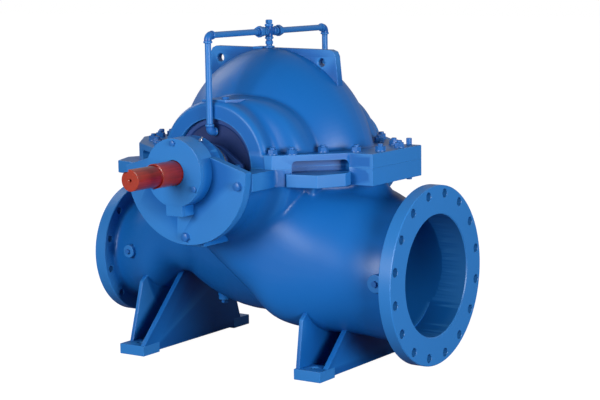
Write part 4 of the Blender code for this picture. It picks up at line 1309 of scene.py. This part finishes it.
def tube(name, stations, steps=40):
    """A round body along stations of (point, direction, radius), with a fixed side direction across its bend."""
    rings = []
    for point, way, radius in stations:
        out = way.cross(Vector((1, 0, 0)))
        turns = [2 * math.pi * i / steps for i in range(steps)]
        rings.append([point + radius * (Vector((1, 0, 0)) * math.cos(t) + out * math.sin(t)) for t in turns])
    return loft(name, rings)


def banded_leg(corner, way, length):
    """The socket of a fitting from its mouth inwards: a rounded band, then the fitting's own wall."""
    rows = ((0.0, BAND_R - 0.0012), (0.0008, BAND_R - 0.0003), (0.0022, BAND_R), (0.0048, BAND_R), (0.0062, BAND_R - 0.0005))
    rows += ((0.0072, FITTING_R + 0.0004), (0.0085, FITTING_R))
    return [(corner + way * (length - depth), radius) for depth, radius in rows]


def elbow(name, corner, first, second):
    """A banded elbow. Each leg is its direction and its length from the corner."""
    corner, a, b = Vector(corner), Vector(first[0]), Vector(second[0])
    bend = 0.014
    middle = corner + (a + b) * bend
    stations = [(point, -a, radius) for point, radius in banded_leg(corner, a, first[1])]
    for i in range(1, 12):
        way = math.radians(90) * i / 12
        point = middle - bend * (b * math.cos(way) + a * math.sin(way))
        stations.append((point, b * math.sin(way) - a * math.cos(way), FITTING_R))
    stations += [(point, b, radius) for point, radius in reversed(banded_leg(corner, b, second[1]))]
    return tube(name, stations)


def pipe_run(name, start, end):
    """A straight length of pipe."""
    start, end = Vector(start), Vector(end)
    way = (end - start).normalized()
    steps = ((0.0, PIPE_R - 0.0008), (0.0008, PIPE_R), ((end - start).length / 2, PIPE_R))
    stations = [(start + way * depth, way, radius) for depth, radius in steps]
    stations += [(end - way * depth, way, radius) for depth, radius in reversed(steps[:2])]
    return tube(name, stations)


def cross_fitting():
    """The cross on the crest: two banded bodies through each other. Its square plug is made on its own."""
    top = Vector((0, 0, PIPE_Z))
    made = []
    for name, way, reach in (("cross_up", Vector((0, 0, 1)), (0.025, 0.023)), ("cross_along", Vector((0, 1, 0)), (0.024, 0.024))):
        stations = [(point, -way, radius) for point, radius in banded_leg(top, way, reach[1])]
        stations += [(point, -way, radius) for point, radius in reversed(banded_leg(top, -way, reach[0]))]
        made.append(tube(name, stations))
    return combine(made[0], "UNION", made[1:])


def hexagon(name, axis, centre, start, end, flats, sides=6, turn_round=0.0):
    """A hexagon (or square) bar end with the corners of both faces chamfered off by a cone, flats apart across."""
    corner = flats / 2 / math.cos(math.pi / sides)
    bm = bmesh.new()
    bmesh.ops.create_cone(bm, cap_ends=True, segments=sides, radius1=corner, radius2=corner, depth=end - start)
    bmesh.ops.rotate(bm, cent=(0, 0, 0), matrix=Matrix.Rotation(turn_round, 3, "Z"), verts=bm.verts)
    bar = object_from(name, bm)
    depth = end - start
    face_r = flats / 2 * 0.97
    slope = math.tan(math.radians(60))
    fall = (corner * 1.02 - face_r) / slope
    rows = [(0.0, -depth / 2 - 0.0001), (face_r, -depth / 2 - 0.0001), (corner * 1.02, -depth / 2 + fall)]
    rows += [(corner * 1.02, depth / 2 - fall), (face_r, depth / 2 + 0.0001), (0.0, depth / 2 + 0.0001)]
    cone = turned("chamfer_cone", rows, "Z", (0, 0), 48)
    step = bar.modifiers.new("chamfer", "BOOLEAN")
    step.operation = "INTERSECT"
    step.solver = "MANIFOLD"
    step.object = cone
    solid(bar)
    bpy.data.objects.remove(cone)
    middle = (start + end) / 2
    places = {"X": (middle, *centre), "Y": (centre[0], middle, centre[1]), "Z": (*centre, middle)}
    bar.data.transform(Matrix.Translation(places[axis]) @ along(axis))
    return bar


flushing = [
    (cross_fitting(), "flush_cross"),
    (hexagon("plug_square", "Z", (0, 0), 1.078 + GAP, 1.092, 0.0160, 4, math.radians(20)), "flush_plug"),
    (
        combine(
            drum("crest_nipple", "Z", (0, 0), 1.008 + GAP, 1.030 - GAP, (0.0098, 0.0098), 48),
            "UNION",
            [hexagon("crest_nipple_hex", "Z", (0, 0), 1.013, 1.024, 0.0215)],
        ),
        "flush_nipple",
    ),
]
for end, side in ENDS:
    inward = (0, -side, 0)
    low, high = span_y(side, 0.024 + GAP, 0.072)
    body = drum("union_body_" + end, "Y", (0, PIPE_Z), low, high, (0.0122, 0.0122), 48)
    low, high = span_y(side, 0.0440, 0.0620)
    nut = hexagon("union_nut_" + end, "Y", (0, PIPE_Z), low, high, 0.0320)
    low, high = span_y(side, 0.0290, 0.0380)
    collar = hexagon("union_collar_" + end, "Y", (0, PIPE_Z), low, high, 0.0270)
    flushing.append((combine(bevelled(body, 0.0008), "UNION", [nut, collar]), "flush_union_" + end))
    start = (0, side * (0.072 + GAP), PIPE_Z)
    flushing.append((pipe_run("pipe_top_" + end, start, (0, side * (PIPE_DOWN_Y - ELBOW_LEG - GAP), PIPE_Z)), "flush_pipe_top_" + end))
    corner = (0, side * PIPE_DOWN_Y, PIPE_Z)
    flushing.append((elbow("elbow_top_" + end, corner, (inward, ELBOW_LEG), ((0, 0, -1), ELBOW_LEG)), "flush_elbow_top_" + end))
    low = (0, side * PIPE_DOWN_Y, PIPE_FOOT_Z + ELBOW_LEG + GAP)
    high = (0, side * PIPE_DOWN_Y, PIPE_Z - ELBOW_LEG - GAP)
    flushing.append((pipe_run("pipe_down_" + end, low, high), "flush_pipe_down_" + end))
    corner = (0, side * PIPE_DOWN_Y, PIPE_FOOT_Z)
    legs = ((inward, PIPE_DOWN_Y - 0.302 - GAP), ((0, 0, 1), ELBOW_LEG))
    flushing.append((elbow("elbow_low_" + end, corner, *legs), "flush_elbow_low_" + end))
for piece, node in flushing:
    settle(shade(piece, PIPE_PAINT), "casing", (node,))


# Plugs, pins and grease nipples: hexagon plugs in the bosses and on the collars, dowel pins in the split flange,
# and a plated grease nipple on each bearing housing.

FASTENER_PAINT = enamel("blue_enamel_fasteners", (0.004, 0.060, 0.260, 1.0), (0.030, 0.180, 0.520, 1.0), (0.002, 0.024, 0.130, 1.0), roughness=0.32, grain=0.3, waves=0.0)
NIPPLE_STEEL = bare_metal("plated_steel", (0.62, 0.64, 0.68, 1.0), 0.26)
NIPPLE_Y = 0.446
NIPPLE_TURN = 30


def grease_nipple(name, side):
    """A hexagon base with a waisted neck and a ball end."""
    foot = SHAFT_Z + HOUSING_R + GAP
    rows = [(0.0, foot), (0.0042, foot), (0.0042, foot + 0.0075), (0.0020, foot + 0.0105), (0.0020, foot + 0.0120)]
    rows += [(0.0032, foot + 0.0138), (0.0030, foot + 0.0158), (0.0016, foot + 0.0170), (0.0, foot + 0.0170)]
    neck = turned(name, rows, "Z", (0, side * NIPPLE_Y), 32)
    combine(neck, "UNION", [hexagon(name + "_hex", "Z", (0, side * NIPPLE_Y), foot + 0.0012, foot + 0.0068, 0.0110)])
    neck.data.transform(turn_about_shaft(side * NIPPLE_TURN))
    return neck


def plain_pin(name, x, y):
    """A ground dowel pin, standing out of the flange for a puller."""
    rows = [(0.0, JOINT_TOP + GAP), (0.009, JOINT_TOP + GAP), (0.009, 0.716), (0.0, 0.716)]
    return turned(name, broken(rows, 0.0012), "Z", (x, y), 48)


plugs = [
    (plain_pin("dowel_right", 0.444, 0.131), "pin_right"),
    (plain_pin("dowel_left", -0.470, 0.020), "pin_left"),
    (hexagon("drain_plug_suction", "Y", (0.532, 0.312), -0.236, -0.2265 - GAP, 0.0175), "plug_suction"),
    (hexagon("drain_plug_discharge", "Y", (-0.450, 0.325), -0.209, -0.200 - GAP, 0.0150), "plug_discharge"),
]
for end, side in ENDS:
    centre = (-side * 0.033, side * 0.288)
    plug_low = COLLAR_PAD_Z + GAP
    plugs.append((hexagon("vent_plug_" + end, "Z", centre, plug_low, plug_low + 0.009, 0.0190), "collar_plug_" + end))
for piece, node in plugs:
    settle(shade(piece, FASTENER_PAINT), "casing", (node,))
drain_plug = hexagon("drain_plug_volute", "Z", (DRAIN_X, 0.0), 0.141, 0.154 - GAP, 0.0170, 4, math.radians(25))
settle(shade(drain_plug, FASTENER_PAINT), "casing")
dowel_end = turned("dowel_end", broken([(0.0, 0.584), (0.009, 0.584), (0.009, JOINT_BOTTOM - GAP), (0.0, JOINT_BOTTOM - GAP)], 0.0012), "Z", (0.444, 0.131), 48)
settle(shade(dowel_end, FASTENER_PAINT), "casing")
for end, side in ENDS:
    settle(shade(grease_nipple("nipple_" + end, side), NIPPLE_STEEL), "casing", ("grease_nipple_" + end,))


# Studs, nuts and screws: rolled steel, tightened on washers before the pump was painted. One tree builds a nut or a
# hexagon head from its size, with a stud end where there is one, and sets it square on the face at each point.


def fastener_tree():
    """The node tree: hexagon with chamfered corners, washer and stud end, copied to the points of the input."""
    tree = bpy.data.node_groups.new("fastener", "GeometryNodeTree")
    tree.interface.new_socket("Points", in_out="INPUT", socket_type="NodeSocketGeometry")
    for label, value in (
        ("Across Flats", 0.030),
        ("Hexagon Height", 0.016),
        ("Washer Radius", 0.0185),
        ("Washer Thickness", 0.003),
        ("Stud Radius", 0.010),
        ("Stud Top", 0.026),
    ):
        socket = tree.interface.new_socket(label, in_out="INPUT", socket_type="NodeSocketFloat")
        socket.default_value = value
    tree.interface.new_socket("Paint", in_out="INPUT", socket_type="NodeSocketMaterial")
    tree.interface.new_socket("Geometry", in_out="OUTPUT", socket_type="NodeSocketGeometry")
    nodes, links = tree.nodes, tree.links
    entry = nodes.new("NodeGroupInput")
    leave = nodes.new("NodeGroupOutput")

    def number(operation, first, second):
        return maths(nodes, links, operation, first, second)

    def cone(sides, top, bottom, depth):
        node = nodes.new("GeometryNodeMeshCone")
        node.inputs["Vertices"].default_value = sides
        for label, value in (("Radius Top", top), ("Radius Bottom", bottom), ("Depth", depth)):
            if isinstance(value, bpy.types.NodeSocket):
                links.new(value, node.inputs[label])
            else:
                node.inputs[label].default_value = value
        return node.outputs["Mesh"]

    def lifted(mesh, height):
        node = nodes.new("GeometryNodeTransform")
        raised = nodes.new("ShaderNodeCombineXYZ")
        if isinstance(height, bpy.types.NodeSocket):
            links.new(height, raised.inputs["Z"])
        else:
            raised.inputs["Z"].default_value = height
        links.new(mesh, node.inputs["Geometry"])
        links.new(raised.outputs["Vector"], node.inputs["Translation"])
        return node.outputs["Geometry"]

    flats = entry.outputs["Across Flats"]
    height = entry.outputs["Hexagon Height"]
    washer = entry.outputs["Washer Thickness"]
    corner = number("MULTIPLY", flats, 0.5 / math.cos(math.pi / 6))
    hexagon_mesh = cone(6, corner, corner, height)
    slope = math.tan(math.radians(60))
    spare = 0.0005
    face = number("MULTIPLY", flats, 0.475)
    foot = number("ADD", face, number("MULTIPLY", number("ADD", height, spare), slope))
    chamfer = lifted(cone(36, number("SUBTRACT", face, spare * slope), foot, number("ADD", height, 2 * spare)), -spare)
    cut = nodes.new("GeometryNodeMeshBoolean")
    cut.operation = "INTERSECT"
    cut.solver = "MANIFOLD"
    links.new(hexagon_mesh, cut.inputs["Mesh 2"])
    links.new(chamfer, cut.inputs["Mesh 2"])
    head = lifted(cut.outputs["Mesh"], washer)
    washer_r = entry.outputs["Washer Radius"]
    ring_mesh = lifted(cone(32, number("SUBTRACT", washer_r, 0.0004), washer_r, number("SUBTRACT", washer, 0.00005)), 0.0)
    stud_r = entry.outputs["Stud Radius"]
    top = entry.outputs["Stud Top"]
    shank = lifted(cone(24, stud_r, stud_r, number("SUBTRACT", top, 0.0015)), 0.0)
    tip = lifted(cone(24, number("MULTIPLY", stud_r, 0.86), stud_r, 0.0015), number("SUBTRACT", top, 0.00145))
    together = nodes.new("GeometryNodeJoinGeometry")
    for part in (head, ring_mesh, shank, tip):
        links.new(part, together.inputs["Geometry"])
    axis = nodes.new("GeometryNodeInputNamedAttribute")
    axis.data_type = "FLOAT_VECTOR"
    axis.inputs["Name"].default_value = "axis"
    spin = nodes.new("GeometryNodeInputNamedAttribute")
    spin.data_type = "FLOAT"
    spin.inputs["Name"].default_value = "spin"
    square = nodes.new("FunctionNodeAlignRotationToVector")
    square.axis = "Z"
    twist = nodes.new("FunctionNodeAxisAngleToRotation")
    twist.inputs["Axis"].default_value = (0.0, 0.0, 1.0)
    turn_node = nodes.new("FunctionNodeRotateRotation")
    turn_node.rotation_space = "LOCAL"
    copies = nodes.new("GeometryNodeInstanceOnPoints")
    real = nodes.new("GeometryNodeRealizeInstances")
    painted = nodes.new("GeometryNodeSetMaterial")
    links.new(axis.outputs["Attribute"], square.inputs["Vector"])
    links.new(spin.outputs["Attribute"], twist.inputs["Angle"])
    links.new(square.outputs["Rotation"], turn_node.inputs["Rotation"])
    links.new(twist.outputs["Rotation"], turn_node.inputs["Rotate By"])
    links.new(entry.outputs["Points"], copies.inputs["Points"])
    links.new(together.outputs["Geometry"], copies.inputs["Instance"])
    links.new(turn_node.outputs["Rotation"], copies.inputs["Rotation"])
    links.new(copies.outputs["Instances"], real.inputs["Geometry"])
    links.new(real.outputs["Geometry"], painted.inputs["Geometry"])
    links.new(entry.outputs["Paint"], painted.inputs["Material"])
    links.new(painted.outputs["Geometry"], leave.inputs["Geometry"])
    return tree


FASTENER = fastener_tree()
SPINS = (0.2, 0.9, 0.5, 0.05, 0.7, 0.35)


def fasteners(name, seats, **sizes):
    """One mesh of like fasteners. A seat is its point on the face and the direction it stands in."""
    mesh = bpy.data.meshes.new(name)
    mesh.from_pydata([place for place, way in seats], [], [])
    axis = mesh.attributes.new("axis", "FLOAT_VECTOR", "POINT")
    axis.data.foreach_set("vector", [number for place, way in seats for number in way])
    spin = mesh.attributes.new("spin", "FLOAT", "POINT")
    spin.data.foreach_set("value", [SPINS[i % len(SPINS)] for i in range(len(seats))])
    obj = in_scene(name, mesh)
    step = obj.modifiers.new("fasteners", "NODES")
    step.node_group = FASTENER
    inputs = {item.name: item.identifier for item in FASTENER.interface.items_tree if item.in_out == "INPUT"}
    for label, value in sizes.items():
        step[inputs[label.replace("_", " ").title()]] = value
    step[inputs["Paint"]] = FASTENER_PAINT
    solid(obj)
    for label in ("axis", "spin"):
        if label in obj.data.attributes:
            obj.data.attributes.remove(obj.data.attributes[label])
    return obj


JOINT_STUDS = (
    (0.214, 0.297),
    (0.262, 0.262),
    (0.312, 0.165),
    (0.399, 0.113),
    (0.452, 0.057),
    (-0.238, 0.284),
    (-0.317, 0.193),
    (-0.393, 0.120),
    (-0.436, 0.030),
)
BRACKET_SCREW_R = 0.2035
COVER_SCREW_R = 0.0905

up = (0.0, 0.0, 1.0)
joint_seats = [((x, side * y, JOINT_TOP), up) for x, y in JOINT_STUDS for side in (-1, 1)]
joint_nuts = fasteners("joint_nuts", joint_seats, across_flats=0.0275, hexagon_height=0.0130, washer_radius=0.0170, washer_thickness=0.003, stud_radius=0.0085, stud_top=0.0225)
bracket_seats = []
cover_seats = []
gland_seats = []
for end, side in ENDS:
    out = (0.0, side, 0.0)
    for degrees in (-10, -90, -170):
        way = math.radians(degrees)
        x, z = BRACKET_SCREW_R * math.cos(way), SHAFT_Z + BRACKET_SCREW_R * math.sin(way)
        bracket_seats.append(((x, side * BRACKET_FACE_Y, z), out))
    for degrees in (90, -30, 210):
        way = math.radians(degrees)
        x, z = COVER_SCREW_R * math.cos(way), SHAFT_Z + COVER_SCREW_R * math.sin(way)
        cover_seats.append(((x, side * COVER_FACE_Y, z), out))
    for x in (-GLAND_STUD_X, GLAND_STUD_X):
        gland_seats.append(((x, side * 0.315, SHAFT_Z), out))
bracket_screws = fasteners("bracket_screws", bracket_seats, across_flats=0.024, hexagon_height=0.010, washer_radius=0.0145, washer_thickness=0.002, stud_radius=0.004, stud_top=0.011)
cover_screws = fasteners("cover_screws", cover_seats, across_flats=0.017, hexagon_height=0.0064, washer_radius=0.0082, washer_thickness=0.0006, stud_radius=0.003, stud_top=0.006)
gland_nuts = fasteners("gland_nuts", gland_seats, across_flats=0.019, hexagon_height=0.010, washer_radius=0.0120, washer_thickness=0.002, stud_radius=0.006, stud_top=0.020)
for piece, slot in ((joint_nuts, "blue_paint"), (bracket_screws, "blue_paint"), (cover_screws, "blue_paint"), (gland_nuts, "dark_paint")):
    piece.data.shade_smooth()
    piece.data.set_sharp_from_angle(angle=math.radians(32))
    settle(piece, "casing")
